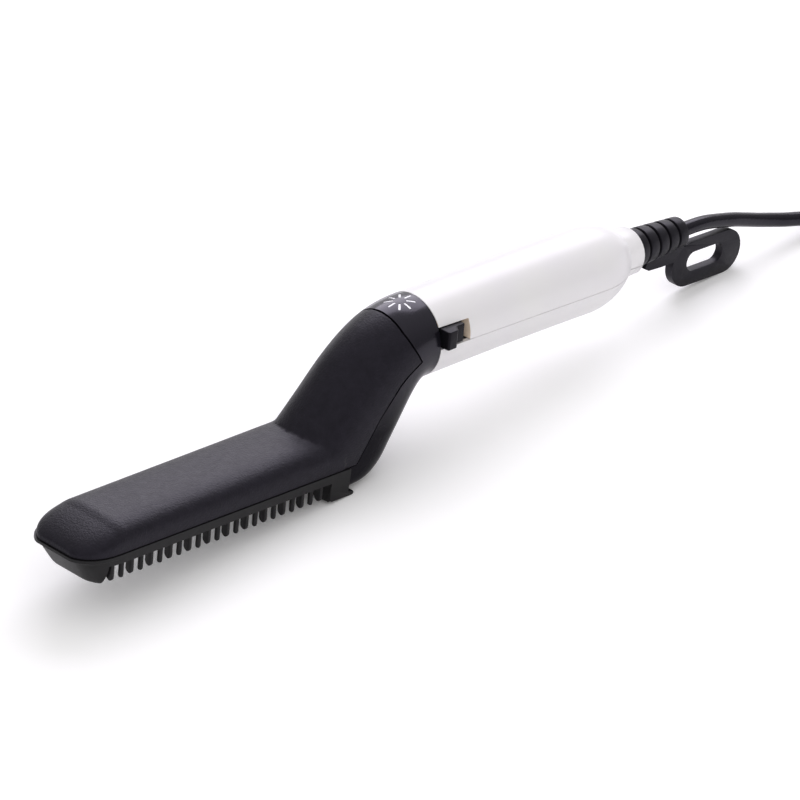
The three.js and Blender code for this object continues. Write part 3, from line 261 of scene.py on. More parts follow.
# Materials
def material(name, color, roughness, *, grain=0.4, bump=0.0, mottle=0.1, mottle_size=9.0, rough_vary=0.06,
             metallic=0.0, specular=0.5, coat=0.0, coat_roughness=0.1, stretch=None, second=None,
             emission=0.0, sheen=0.0, tint=None):
    """Moulded plastic, rubber, lacquer or metal: base colour with a slow mottle, a fine grain in the
    surface's roughness and relief. Sizes are in millimetres."""
    made = bpy.data.materials.new(name)
    made.use_nodes = True
    tree = made.node_tree
    shader = tree.nodes["Principled BSDF"]
    shader.inputs["Metallic"].default_value = metallic
    shader.inputs["Specular IOR Level"].default_value = specular
    shader.inputs["Coat Weight"].default_value = coat
    shader.inputs["Coat Roughness"].default_value = coat_roughness
    shader.inputs["Sheen Weight"].default_value = sheen
    if tint:
        shader.inputs["Specular Tint"].default_value = (*tint, 1)
        shader.inputs["Coat Tint"].default_value = (*tint, 1)
    if emission:
        shader.inputs["Emission Color"].default_value = (*color, 1)
        shader.inputs["Emission Strength"].default_value = emission
    source = tree.nodes.new("ShaderNodeTexCoord").outputs["Object"]
    if stretch:
        mapping = tree.nodes.new("ShaderNodeMapping")
        mapping.inputs["Scale"].default_value = stretch
        tree.links.new(source, mapping.inputs["Vector"])
        source = mapping.outputs["Vector"]

    def noise(size, detail=2.0):
        node = tree.nodes.new("ShaderNodeTexNoise")
        node.inputs["Scale"].default_value = 1000 / size
        node.inputs["Detail"].default_value = detail
        tree.links.new(source, node.inputs["Vector"])
        return node.outputs["Fac"]

    ramp = tree.nodes.new("ShaderNodeValToRGB")
    low = [c * (1 - mottle) for c in color]
    high = [min(1.0, c * (1 + mottle)) for c in (second or color)]
    ramp.color_ramp.elements[0].position, ramp.color_ramp.elements[1].position = 0.3, 0.7
    ramp.color_ramp.elements[0].color = (*low, 1)
    ramp.color_ramp.elements[1].color = (*high, 1)
    tree.links.new(noise(mottle_size), ramp.inputs["Fac"])
    tree.links.new(ramp.outputs["Color"], shader.inputs["Base Color"])

    smoothest, roughest = max(0.02, roughness - rough_vary), min(1.0, roughness + rough_vary)
    tree.links.new(spread(tree, noise(grain * 3), 0, 1, smoothest, roughest), shader.inputs["Roughness"])

    if bump:
        relief = tree.nodes.new("ShaderNodeBump")
        relief.inputs["Strength"].default_value = bump
        relief.inputs["Distance"].default_value = grain * MM * 0.25
        tree.links.new(noise(grain, 3.0), relief.inputs["Height"])
        tree.links.new(relief.outputs["Normal"], shader.inputs["Normal"])
    return made


VIOLET = (0.88, 0.84, 1.0)
SOFT_BLACK = material("soft_black", (0.0108, 0.0099, 0.0142), 0.41, grain=0.7, bump=0.9, mottle=0.2,
                      mottle_size=3, rough_vary=0.09, specular=0.25, tint=VIOLET)
GLOSS_BLACK = material("gloss_black", (0.008, 0.0073, 0.0104), 0.22, grain=0.5, bump=0.03, mottle=0.12,
                       mottle_size=7, rough_vary=0.035, specular=0.38, coat=0.15, coat_roughness=0.08,
                       tint=VIOLET)
SATIN_BLACK = material("comb_black", (0.0125, 0.012, 0.0132), 0.4, grain=0.3, bump=0.14, mottle=0.16,
                       mottle_size=4, rough_vary=0.06, specular=0.25)
SWITCH_BLACK = material("switch_black", (0.0065, 0.006, 0.0075), 0.34, grain=0.25, bump=0.12, mottle=0.15,
                        mottle_size=2, rough_vary=0.05, specular=0.15, tint=VIOLET)
PEARL_WHITE = material("pearl_white", (0.92, 0.905, 0.925), 0.36, grain=0.14, bump=0.015, mottle=0.008,
                       mottle_size=24, rough_vary=0.04, second=(0.93, 0.925, 0.915), coat=0.3,
                       coat_roughness=0.2, sheen=0.1)
# Bare tan plastic of the slot's walls, lightened and made to glow a little: painted light that lifts the
# shaded slot.
BARE_PLASTIC_PAINTED_GLOW = material("bare_plastic_painted_glow", (0.95, 0.79, 0.63), 0.55, grain=0.3, bump=0.2, mottle=0.04,
                        mottle_size=2, emission=0.05)
RELIEF_BLACK = material("relief_rubber", (0.0075, 0.0072, 0.0092), 0.4, grain=0.45, bump=0.3, mottle=0.18,
                        mottle_size=3, rough_vary=0.07, specular=0.26, tint=VIOLET)
CORD_BLACK = material("cord_sheath", (0.005, 0.0045, 0.007), 0.2, grain=0.8, bump=0.3, mottle=0.2,
                      mottle_size=6, rough_vary=0.06, specular=0.33, tint=VIOLET)
PLUG_BLACK = material("plug_black", (0.015, 0.015, 0.016), 0.4, grain=0.4, bump=0.2, mottle=0.15,
                      mottle_size=4)
WINDOW = material("light_window", (0.84, 0.84, 0.88), 0.3, grain=0.3, bump=0.05, mottle=0.04,
                  mottle_size=1.5, emission=0.25)
ALUMINIUM = material("plate_metal", (0.62, 0.625, 0.635), 0.3, grain=0.2, bump=0.12, mottle=0.1,
                     mottle_size=0.5, metallic=1.0, stretch=(0.03, 1, 1), rough_vary=0.1)
STEEL = material("screw_steel", (0.52, 0.52, 0.53), 0.3, grain=0.25, bump=0.15, mottle=0.12,
                 mottle_size=0.8, metallic=1.0, rough_vary=0.08)
BRASS = material("pin_brass", (0.74, 0.68, 0.52), 0.24, grain=0.25, bump=0.08, mottle=0.08, mottle_size=2,
                 metallic=1.0, stretch=(0.2, 1, 1))
CERAMIC = material("ceramic", (0.62, 0.59, 0.54), 0.65, grain=0.3, bump=0.3, mottle=0.08, mottle_size=2)
FILM = material("film", (0.5, 0.24, 0.07), 0.3, grain=0.6, bump=0.05, mottle=0.12, mottle_size=4)
RESIN = material("carrier_resin", (0.05, 0.046, 0.042), 0.5, grain=0.5, bump=0.25, mottle=0.25,
                 mottle_size=1.2)
BOARD = material("board_green", (0.03, 0.13, 0.055), 0.35, grain=0.4, bump=0.1, mottle=0.35,
                 mottle_size=2.5)
WIRE_RED = material("wire_red", (0.42, 0.025, 0.025), 0.4, grain=0.5, bump=0.1, mottle_size=3)
WIRE_BLUE = material("wire_blue", (0.025, 0.08, 0.36), 0.4, grain=0.5, bump=0.1, mottle_size=3)

# The gloss fades down the neck, between two heights in metres, to a dull strip under the head shell.
DULL_BELOW, FULL_ABOVE = 0.018, 0.036
tree = GLOSS_BLACK.node_tree
place = tree.nodes.new("ShaderNodeTexCoord")
axes = tree.nodes.new("ShaderNodeSeparateXYZ")
tree.links.new(place.outputs["Object"], axes.inputs["Vector"])
for name, dull in (("Specular IOR Level", 0.07), ("Coat Weight", 0.0)):
    socket = tree.nodes["Principled BSDF"].inputs[name]
    level = spread(tree, axes.outputs["Z"], DULL_BELOW, FULL_ABOVE, dull, socket.default_value)
    tree.links.new(level, socket)

BY_SLOT = {
    "soft_black": SOFT_BLACK, "gloss_black": GLOSS_BLACK, "comb_black": SATIN_BLACK,
    "pearl_white": PEARL_WHITE, "switch_black": SWITCH_BLACK, "relief_rubber": RELIEF_BLACK,
    "cord_sheath": CORD_BLACK, "plug_black": PLUG_BLACK, "light_window": WINDOW, "plate_metal": ALUMINIUM,
    "screw_steel": STEEL, "pin_brass": BRASS, "ceramic": CERAMIC, "film": FILM, "carrier_resin": RESIN,
    "board_green": BOARD, "wire_red": WIRE_RED, "wire_blue": WIRE_BLUE,
}
for subpart in frame["record"]["subparts"]:
    node = nodes[subpart["node"]]
    node.data.materials.clear()
    node.data.materials.append(BY_SLOT[subpart["material_slot"]])

# Lead, hank, tie and plug
CORD = 5.5
GAP = 0.3
LEAD_ROUTE = [
    (135.62, 0.95, 25.76), (142.1, 0.95, 25.2), (146.9, 0.95, 24.6), (151.7, 0.95, 23.6), (158.7, 0.95, 21.5),
    (165.8, 0.9, 19.2), (172.8, 0.8, 16.5), (180, 0.5, 13.7), (186.4, -0.1, 11.5), (192.9, -1, 9.4),
    (200.2, -2.1, 7.4), (207, -3.8, 5.7), (214, -6.7, 4.2), (221, -10.4, 3.3), (228, -14.4, 2.9),
    (235, -18.2, 2.8), (240.5, -21.2, 2.8), (246, -23.2, 2.8), (250, -23.9, 2.8), (254, -23.9, 2.8),
]
HANK_TAIL = [
    (-49.3, -6.3, 18.9), (-47.1, -12.3, 19.4), (-43.2, -17.2, 20.2), (-38.3, -20.9, 21.3), (-32.6, -23, 22.6),
    (-26.6, -22.9, 24), (-20.9, -20.7, 25.4), (-15.6, -17.6, 26.7), (-10.3, -14.3, 27.7), (-5.1, -11.2, 28.3),
    (-0.4, -9.2, 28.5),
]
HANK_RUN = 52
HANK_FOLD = 15.8
HANK_WAIST = 11.3
HANK_WAIST_LENGTH = 7
HANK_PITCH = CORD + 0.7
HANK_ACROSS = 1.5
HANK_TURNS = 5.75
HANK_STEPS = 72
TIE_WIDTH = 5
TIE_THICKNESS = 0.9
TIE_ROOM = 0.6
TIE_FOOT = 0.3
PLUG_FROM_HANK = (9.9, -8.3)
PLUG_LIFT = 0.45                  # its body, over the hank's top layer
PLUG_HALF = 13.7 / 2
PLUG_LENGTH = 36
PLUG_NECK = 11
PIN_Y = 18.6 / 2
PIN_RADIUS = 2
PIN_ROOT = 6                      # inside the plug's body
RIBBED = (1.5, 10.4)              # the stretch of its ribbed neck
RIB_LENGTH = 1.1
GRIP = (23.5, 32.5)               # the stretch of its grooved sides
GRIP_LENGTH = 1.5
EIGHTH = 1 / 8
hank_start = Vector(LEAD_ROUTE[-1]) + Vector((GAP, 0, 0))
hank_middle = hank_start + Vector((CORD + HANK_RUN / 2, HANK_FOLD + HANK_PITCH * (HANK_ACROSS + EIGHTH), 0))
waist_lift = TIE_FOOT + TIE_THICKNESS + TIE_ROOM + CORD / 2 - hank_start.z


def smoothstep(x, low, high):
    t = max(0.0, min(1.0, (x - low) / (high - low)))
    return t * t * (3 - 2 * t)


def hank_point(turns):
    """Four layers of long loops: a run, a fold, the run back, a fold; each climb takes a run."""
    reverse = HANK_ACROSS * (1 if turns < 2 * HANK_ACROSS else 3)
    out = HANK_PITCH * abs(turns - reverse)
    layers = sum(smoothstep(turns, k * HANK_ACROSS - EIGHTH, k * HANK_ACROSS + EIGHTH) for k in (1, 2, 3))
    place = 4 * ((turns + 1 + EIGHTH) % 1)
    quarter = int(place)
    side = -1 if quarter < 2 else 1
    if quarter % 2:
        angle = side * math.pi / 2 + math.pi * (place - quarter)
        radius = HANK_FOLD + out
        return hank_middle + Vector((radius * math.cos(angle) - side * HANK_RUN / 2,
                                     radius * math.sin(angle), HANK_PITCH * layers))
    along = (place - quarter - 0.5) * HANK_RUN
    bend_length = (HANK_RUN - HANK_WAIST_LENGTH) / 2
    bend = math.pi * max(0.0, abs(along) - HANK_WAIST_LENGTH / 2) / bend_length
    drawn_in = (1 + math.cos(bend)) / 2
    inset = HANK_FOLD - HANK_WAIST
    slope = inset / 2 * math.pi / bend_length * math.sin(bend)
    half = HANK_FOLD - inset * drawn_in + out * math.hypot(1, slope)
    return hank_middle + Vector((-side * along, side * half, HANK_PITCH * layers + waist_lift * drawn_in))


plug_start = hank_middle + Vector((*PLUG_FROM_HANK, 3 * HANK_PITCH + CORD / 2 + PLUG_LIFT + PLUG_HALF))
hank_steps = round((HANK_TURNS + EIGHTH) * HANK_STEPS)
hank = [hank_point(i / hank_steps * (HANK_TURNS + EIGHTH) - EIGHTH) for i in range(hank_steps + 1)]
tail = ([hank[-1]] + [hank_middle + Vector(p) for p in HANK_TAIL]
        + [plug_start - Vector((CORD, 0, 0)), plug_start])
lead_points = ([Vector(p) for p in spline_through(LEAD_ROUTE, 120)] + [hank_start] + hank
               + [Vector(p) for p in spline_through(tail, 60)[1:]])


def tube(points, radius, sides=20):
    """A round tube through points, its rings turned as little as possible from one to the next."""
    normal = Vector((0, 0, 1))
    rings = []
    for i, p in enumerate(points):
        along = (points[min(i + 1, len(points) - 1)] - points[max(i - 1, 0)]).normalized()
        normal = (normal - along * normal.dot(along)).normalized()
        side = along.cross(normal)
        rings.append([p + (normal * math.cos(a) + side * math.sin(a)) * radius
                      for a in np.arange(sides) / sides * 2 * math.pi])
    return loft(rings, "tube")


lead = finished(tube(lead_points, CORD / 2), "lead", CORD_BLACK, ["power_cord", "cord_hank"],
                matrix=ROW)

# The tie lies taut round the waist's outermost turns.
tie_turns = (0, 0.5, 2 * HANK_ACROSS + 2.5, 2 * HANK_ACROSS + 2, 2 * HANK_ACROSS)
tie_corners = [hank_point(turns).yz for turns in tie_turns]


def taut_line(radius, steps=12):
    line = []
    for i, corner in enumerate(tie_corners):
        come, go = corner - tie_corners[i - 1], tie_corners[(i + 1) % len(tie_corners)] - corner
        start = math.atan2(come.y, come.x) - math.pi / 2
        turn = (math.atan2(go.y, go.x) - math.pi / 2 - start) % (2 * math.pi)
        line += [(corner.x + radius * math.cos(start + turn * k / steps),
                  corner.y + radius * math.sin(start + turn * k / steps)) for k in range(steps + 1)]
    return line


tie = prism(taut_line(CORD / 2 + TIE_ROOM + TIE_THICKNESS), -TIE_WIDTH / 2, TIE_WIDTH / 2, "tie")
tie = without(tie, prism(taut_line(CORD / 2 + TIE_ROOM / 3), -TIE_WIDTH, TIE_WIDTH))
tie.data.transform(Matrix.Translation((hank_middle.x, 0, 0)) @ Matrix.Rotation(math.pi / 2, 4, "Z"))
tie = finished(bevel(tie, 0.3, 3, 50), "hank_tie", PLUG_BLACK, ["cord_tie"], matrix=ROW)

# The plug's stations: distance, half width, half height and the power of its rounding.
plug_frame = ROW @ Matrix.Translation(plug_start + Vector((GAP, 0, 0)))
PLUG_SECTIONS = [
    (0, 4.6, 4.6, 2), (PLUG_NECK, 5.4, 5.4, 2), (14, 7, PLUG_HALF - 0.6, 2.3), (20, 14, PLUG_HALF, 3),
    (25, 17.2, PLUG_HALF, 3.4), (34, 17.6, PLUG_HALF, 3.6), (PLUG_LENGTH, 16.9, PLUG_HALF - 0.7, 3.6),
]
plug_rings = []
for x in np.concatenate([np.linspace(0, PLUG_NECK, 45), np.linspace(PLUG_NECK + 0.3, PLUG_LENGTH, 60)]):
    width, height, power = [np.interp(x, [s[0] for s in PLUG_SECTIONS], [s[k] for s in PLUG_SECTIONS])
                            for k in (1, 2, 3)]
    groove = 0.55 * max(0.0, math.sin(x * math.pi / RIB_LENGTH)) ** 2 if RIBBED[0] < x < RIBBED[1] else 0
    grip = 0.35 * max(0.0, math.sin((x - 22) * math.pi / GRIP_LENGTH)) if GRIP[0] < x < GRIP[1] else 0
    plug_rings.append(ring((x, 0, 0), (0, width - groove, 0), (0, 0, height - groove - grip), power, 96))
plug = loft(plug_rings, "plug")
plug = without(plug, *[bar((PLUG_LENGTH - PIN_ROOT - GAP, s * PIN_Y, 0), (PLUG_LENGTH + 2, s * PIN_Y, 0),
                           PIN_RADIUS + GAP, 40) for s in (-1, 1)])
plug = finished(plug, "plug", PLUG_BLACK, ["plug_body"], matrix=plug_frame, angle=50)
pin_shape = [(1.85, -PIN_ROOT), (PIN_RADIUS, 0.2 - PIN_ROOT), (PIN_RADIUS, 16.9), (1.8, 18), (1.45, 18.7),
             (0.9, 19)]
for number, side in ((1, -1), (2, 1)):
    pin = lathe(pin_shape, 40, (PLUG_LENGTH, side * PIN_Y, 0), (1, 0, 0))
    finished(pin, f"plug_pin_fine_{number}", BRASS, [f"plug_pin_{number}"],
                         matrix=plug_frame, angle=50)

# Handle
HANDLE_RADIUS = 15.3              # at the collar
REAR_RADIUS = 15.7                # where the shoulder starts
REAR_LIFT = 1.5                   # how far the axis has risen there
HANDLE_LENGTH = 111.6
END_NECK_RADIUS = 9.0
END_NECK_LIFT = 2.7
END_NECK_LENGTH = 7.4
SHOULDER_LENGTH = 20.2
SHOULDER_END = HANDLE_LENGTH - END_NECK_LENGTH
SHOULDER_START = SHOULDER_END - SHOULDER_LENGTH
WALL = 1.8
BORE = HANDLE_RADIUS - WALL
SPIGOT_LENGTH = 6
SPIGOT_WALL = 1.6
SLOT_LENGTH = 14.3
SLOT_TOP = 7.6
SLOT_FOOT = -1
SEAM_FRONT, SEAM_REAR = 17, 103   # the stretch behind the slot where the halves overlap
OUTSIDE = 20                      # beyond the handle's skin
REACH = 200                       # beyond all of the tool
BOSS = 2.9
SHANK = 1.1
SCREW_HEAD = 2.4
SCREW_LENGTH = 14.7
SCREW_SEAT = -8
SCREW_ROOM_TOP = 8
SCREWS = [(64, 0), (92, 6.2), (92, -6.2)]
LIGHT_X = -6.8
GUIDE_RADIUS = 5.9


def handle_ring(x, inset, count=128):
    run = max(0.0, min(1.0, x / SHOULDER_START))
    radius = HANDLE_RADIUS + (REAR_RADIUS - HANDLE_RADIUS) * run
    lift = REAR_LIFT * math.sin(run * math.pi / 2)
    if x > SHOULDER_START:
        t = min(1.0, (x - SHOULDER_START) / SHOULDER_LENGTH)
        radius = END_NECK_RADIUS + (REAR_RADIUS - END_NECK_RADIUS) * (1 - t ** 2.1) ** 0.87
        lift = REAR_LIFT + (END_NECK_LIFT - REAR_LIFT) * t
    reach = radius - inset
    return ring((x, 0, lift), (0, reach, 0), (0, 0, reach), 2, count)


def handle_loft(places, inset):
    return loft([handle_ring(x, inset) for x in places], "handle")


def barrel_from(start):
    return list(np.linspace(start, SHOULDER_START, 9))


def slab(low, high):
    """All the room between two heights."""
    return block(-REACH, REACH, -REACH, REACH, low, high)


shoulder = SHOULDER_START + SHOULDER_LENGTH * np.sin(np.linspace(0, math.pi / 2, 22))
barrel = list(np.linspace(0, SHOULDER_START, 12)[:-1])
stops = barrel + list(shoulder) + [HANDLE_LENGTH - 0.5]
skin = loft([handle_ring(x, 0) for x in [0, 0.25] + stops[1:]] + [handle_ring(HANDLE_LENGTH, 0.35)], "handle")
hollow = handle_loft([-1] + barrel[1:] + list(shoulder - WALL) + [HANDLE_LENGTH + 1], WALL)
tube_piece = without(skin, hollow)
spigot_bore = BORE - GAP - SPIGOT_WALL
spigot = lathe([(spigot_bore, -SPIGOT_LENGTH), (BORE - GAP, -SPIGOT_LENGTH), (BORE - GAP, 0),
                (HANDLE_RADIUS - WALL / 2, 0), (HANDLE_RADIUS - WALL / 2, SPIGOT_WALL),
                (spigot_bore, SPIGOT_WALL)], 128, (0, 0, 0), (1, 0, 0))
spigot = without(spigot, bar((-8, 0, 0), (4, 0, 0), spigot_bore + 0.001, 128))
tube_piece = joined(tube_piece, spigot)

upper = within(copy_of(tube_piece), slab(GAP / 2, REACH))
lower = within(tube_piece, slab(-REACH, -GAP / 2))
room = handle_loft(stops, WALL / 2)
pillars = [within(bar((x, y, -OUTSIDE), (x, y, OUTSIDE), BOSS, 32), copy_of(room)) for x, y in SCREWS]
pillars_low = [within(copy_of(p), slab(-REACH, -GAP / 2)) for p in pillars]
pillars_high = [within(p, slab(GAP / 2, REACH)) for p in pillars]
bpy.data.objects.remove(room)
slot_wall = within(block(SLOT_LENGTH - 0.4, SLOT_LENGTH + 1.9, -15.2, -10.6, GAP / 2, SLOT_TOP + 1.6),
                   handle_loft(stops, 0.4))
light_room = GUIDE_RADIUS + 2 * GAP
upper = joined(upper, *pillars_high, slot_wall)
upper = without(upper, bevel(block(-1, SLOT_LENGTH, -OUTSIDE, -5, SLOT_FOOT, SLOT_TOP), 0.3, 2),
                block(-8, LIGHT_X + light_room, -light_room, light_room, 0, HANDLE_RADIUS),
                *[bar((x, y, SCREW_SEAT - 1), (x, y, SCREW_ROOM_TOP), SHANK + GAP, 24) for x, y in SCREWS])


def sleeve(outer, inner):
    """A thin sleeve between two depths under the handle's skin."""
    return without(handle_loft(barrel_from(1.8) + list(shoulder[1:-1]), outer),
                   handle_loft(barrel_from(1.0) + list(shoulder[1:]), inner))


def round_seam(front, rear, low, high):
    """The room about the seam between two places along the handle and two heights."""
    return block(front, rear, -OUTSIDE, OUTSIDE, low, high)


# A lip on the lower half reaches behind the upper one and leaves a shallow line between them.
lip = within(sleeve(1.0, 1.75), round_seam(SEAM_FRONT, SEAM_REAR + 2, -1.2, -GAP / 2 + 0.9))
lip = joined(lip, within(sleeve(0.3, 1.3), round_seam(SEAM_FRONT, SEAM_REAR, -1.0, 0.1)))
lower = joined(lower, *pillars_low)
lower = without(lower, *[bar((x, y, SCREW_SEAT), (x, y, SCREW_ROOM_TOP), SHANK + GAP, 24) for x, y in SCREWS],
                *[lathe([(3.0, 0), (SCREW_HEAD + GAP, 0.6), (SCREW_HEAD + GAP, 13)], 40,
                        (x, y, SCREW_SEAT - 13), (0, 0, 1)) for x, y in SCREWS])
seam_room = without(handle_loft(barrel_from(1.0) + list(shoulder), 0.95),
                    handle_loft(barrel_from(0.0) + list(shoulder[:-4]), 4))
seam_room = within(seam_room, round_seam(SEAM_FRONT - 0.4, SEAM_REAR, 0, 1.0))
upper = without(upper, seam_room)
lower = joined(lower, lip)

# The slot's inner faces are bare plastic, without the pearl lacquer; their tan is lightened and glows a
# little, painted light in the shaded slot.
upper.data.materials.clear()
upper.data.materials.append(PEARL_WHITE)
upper.data.materials.append(BARE_PLASTIC_PAINTED_GLOW)
for polygon in upper.data.polygons:
    x, y, z = polygon.center
    in_slot = -0.5 < x < SEAM_FRONT and y < -6 and z < 9.3 and math.hypot(y, z) < HANDLE_RADIUS - GAP
    polygon.material_index = int(in_slot)
finished(upper, "handle_upper_fine", PEARL_WHITE, ["handle_upper_half"], angle=40)
finished(lower, "handle_lower_fine", PEARL_WHITE, ["handle_lower_half"], angle=40)


def screw_fine(name, node, x, y, seat, length):
    """A pan-head screw pointing up, with a cross recess in its head."""
    head = lathe([(0.3, -length), (SHANK, -length + 1.5), (SHANK, 0), (SCREW_HEAD, 0), (SCREW_HEAD, 0.5),
                  (2.15, 1.15), (1.5, 1.5), (0.5, 1.6)], 40, (0, 0, 0), (0, 0, 1))
    head = without(head, block(-1.4, 1.4, -0.28, 0.28, 0.7, 3), block(-0.28, 0.28, -1.4, 1.4, 0.7, 3))
    head.data.transform(Matrix.Translation((x, y, seat)) @ Matrix.Rotation(math.pi, 4, "X"))
    return finished(head, name, STEEL, [node])


for number, (x, y) in enumerate(SCREWS, 1):
    screw_fine(f"handle_screw_fine_{number}", f"handle_screw_{number}", x, y, SCREW_SEAT - GAP, SCREW_LENGTH)

# Neck and head. The neck's stations: top and bottom point in x and z, share of the way to the full width,
# power of the rounding above and below.
NECK_STATIONS = [
    ((1, 15.3), (1, -15.3), 0, 2, 2), ((-5, 15.0), (-2.5, -15.5), 0.05, 2, 2),
    ((-12, 13.9), (-5.2, -16.9), 0.15, 2, 2.1), ((-20, 11.4), (-8, -20.4), 0.3, 2, 2.3),
    ((-28.5, 7.0), (-12.2, -27.4), 0.5, 2, 2.5), ((-37, 0.4), (-17.2, -34.6), 0.7, 2, 2.8),
    ((-45.5, -9), (-22.2, -39.6), 0.85, 2.1, 3.4), ((-53, -18.6), (-30, -42.3), 1, 2.3, 4.5),
    ((-60.5, -29), (-41.3, -42.1), 1, 2.6, 6),
]
NECK_WIDTH = 31.6
SEAM_Z = -33.0
FRONT_X = -162.2
TIP = 16                          # where the head's plan rounds off
TIP_SHARE = 0.45                  # of its width, left at the very tip
CROWN_TIP = 19.5                  # where its crown falls
CROWN_TIP_SHARE = 0.16            # of its height, left at the very tip
CROWN_FRONT = 9.2
CROWN_REAR = 11
HEAD_WIDTH = 32.4
HEAD_REAR_X = -44
HEAD_POWER = 3.3


def neck_loft(inset, rows=72, count=128):
    flat = [(*t, *b, s, p, q) for t, b, s, p, q in NECK_STATIONS]
    rings = []
    for tx, tz, bx, bz, share, above, below in spline_through(flat, rows):
        high, low = Vector((tx, 0, tz)), Vector((bx, 0, bz))
        half = (high - low) / 2
        half.length = half.length - inset
        width = HANDLE_RADIUS + (NECK_WIDTH / 2 - HANDLE_RADIUS) * share - inset
        rings.append(ring((high + low) / 2, (0, width, 0), half, above, count, below))
    return loft(rings, "neck")


def head_shape(x):
    """The head's half width and the height of its crown at x."""
    run = max(0.0, min(1.0, (HEAD_REAR_X - x) / (HEAD_REAR_X - FRONT_X - CROWN_TIP)))
    into_plan = max(0.0, min(0.999, (FRONT_X + TIP - x) / TIP))
    into_crown = max(0.0, min(0.999, (FRONT_X + CROWN_TIP - x) / CROWN_TIP))
    half = HEAD_WIDTH / 2 * (TIP_SHARE + (1 - TIP_SHARE) * (1 - into_plan ** 2.6) ** 0.6)
    fall = into_crown ** 1.2 * smoothstep(into_crown, 0, 0.3)
    crown = CROWN_REAR - (CROWN_REAR - CROWN_FRONT) * run
    return half, crown * (CROWN_TIP_SHARE + (1 - CROWN_TIP_SHARE) * (1 - fall) ** 0.58)


def head_section(x, inset, drop, count=80):
    half, crown = head_shape(x)
    angle = np.linspace(0, math.pi, count + 1)
    half -= inset
    height = max(crown - inset, 0.2)
    share = 2 / HEAD_POWER
    points = [(x, half * bulged(math.cos(a), share), SEAM_Z + height * bulged(math.sin(a), share))
              for a in angle]
    return [(x, half, SEAM_Z - drop)] + points + [(x, -half, SEAM_Z - drop)]


crown_bend = FRONT_X + CROWN_TIP + 1
head_stops = (list(np.linspace(HEAD_REAR_X, crown_bend, 22)[:-1])
              + list(np.linspace(crown_bend, FRONT_X + TIP, 10)[:-1])
              + list(FRONT_X + TIP * (1 - np.sin(np.linspace(0, math.pi / 2, 26)))))
head_skin = loft([head_section(x, 0, 4) for x in head_stops], "head")
hollow_stops = [max(x, FRONT_X + WALL + (x - FRONT_X) * 0.97) for x in head_stops]
head_hollow = loft([head_section(x, WALL, 5) for x in hollow_stops], "hollow")
neck_skin = neck_loft(0)
neck_hollow = neck_loft(WALL)


def blended(a, b, reach=4.5, rounds=40, voxel=0.55):
    """The union of two skins with the inner corner between them eased: remeshed, drawn back onto the exact
    skins away from the corner, and smoothed near it."""
    trees = [BVHTree.FromObject(o, bpy.context.evaluated_depsgraph_get()) for o in (a, b)]
    whole = joined(copy_of(a), copy_of(b))
    exact = BVHTree.FromObject(whole, bpy.context.evaluated_depsgraph_get())
    modifier = whole.modifiers.new("remesh", "REMESH")
    modifier.mode = "VOXEL"
    modifier.voxel_size = voxel
    modifier.adaptivity = 0
    apply(whole)
    mesh = whole.data
    co = np.array([v.co for v in mesh.vertices], float)
    near = np.zeros(len(co))
    for i, p in enumerate(co):
        hit = exact.find_nearest(Vector(p))[0]
        co[i] = hit
        far = max(t.find_nearest(hit, 20)[3] or 20 for t in trees)
        near[i] = max(0.0, 1 - far / reach)
    weight = (near * near * (3 - 2 * near))[:, None]
    edges = np.array([e.vertices[:] for e in mesh.edges])
    degree = np.bincount(edges.ravel(), minlength=len(co))[:, None]
    for _ in range(rounds):
        total = np.zeros_like(co)
        for axis in range(3):
            total[:, axis] = (np.bincount(edges[:, 0], co[edges[:, 1], axis], len(co))
                              + np.bincount(edges[:, 1], co[edges[:, 0], axis], len(co)))
        co += (total / np.maximum(degree, 1) - co) * weight * 0.5
    mesh.vertices.foreach_set("co", co.astype(np.float32).ravel())
    mesh.update()
    return whole


bpy.context.view_layer.update()
skin = blended(head_skin, neck_skin)
bpy.data.objects.remove(head_skin)
bpy.data.objects.remove(neck_skin)
hollow = joined(head_hollow, neck_hollow)
shell = without(copy_of(skin), hollow)

# The shells part along this line in x and z; round the collar their seam is a wider groove.
PARTING = [(-15.8, REACH), (-15.7, 12.8), (-14.9, 8.6), (-12.8, 4), (-9.1, -2.2), (-15.4, -5.8),
           (-18.8, -8.5), (-28.1, -18.8), (-38, SEAM_Z)]
COLLAR_FOOT = -9


def set_off(side, groove):
    return [(x - side * (groove if z > COLLAR_FOOT else GAP / 2), z + side * GAP / 2) for x, z in PARTING]


upper_zone = prism(set_off(1, 0.5) + [(-REACH, SEAM_Z + GAP / 2), (-REACH, REACH + GAP / 2)], -REACH, REACH)
lower_zone = prism(set_off(-1, 0.35) + [(-41, SEAM_Z - GAP / 2), (-41, -REACH), (-GAP, -REACH),
                                        (-GAP, REACH - GAP / 2)], -REACH, REACH)
RAY_COUNT = 8
RAY_WIDTH = 0.8
RAY_INNER = 2.2
RAY_OUTER = 5.5
RAY_ROOM = 0.05
GUIDE_TOP = 9.9
GUIDE_THICKNESS = 1.2


def rays(room, low, high):
    made = []
    width = RAY_WIDTH + 2 * room
    for k in range(RAY_COUNT):
        spoke = block(RAY_INNER - room, RAY_OUTER + room, -width / 2, width / 2, low, high)
        spoke = bevel(spoke, width * 0.3, 2)
        turn = Matrix.Rotation(k * 2 * math.pi / RAY_COUNT, 4, "Z")
        spoke.data.transform(Matrix.Translation((LIGHT_X, 0, 0)) @ turn)
        made.append(spoke)
    return made


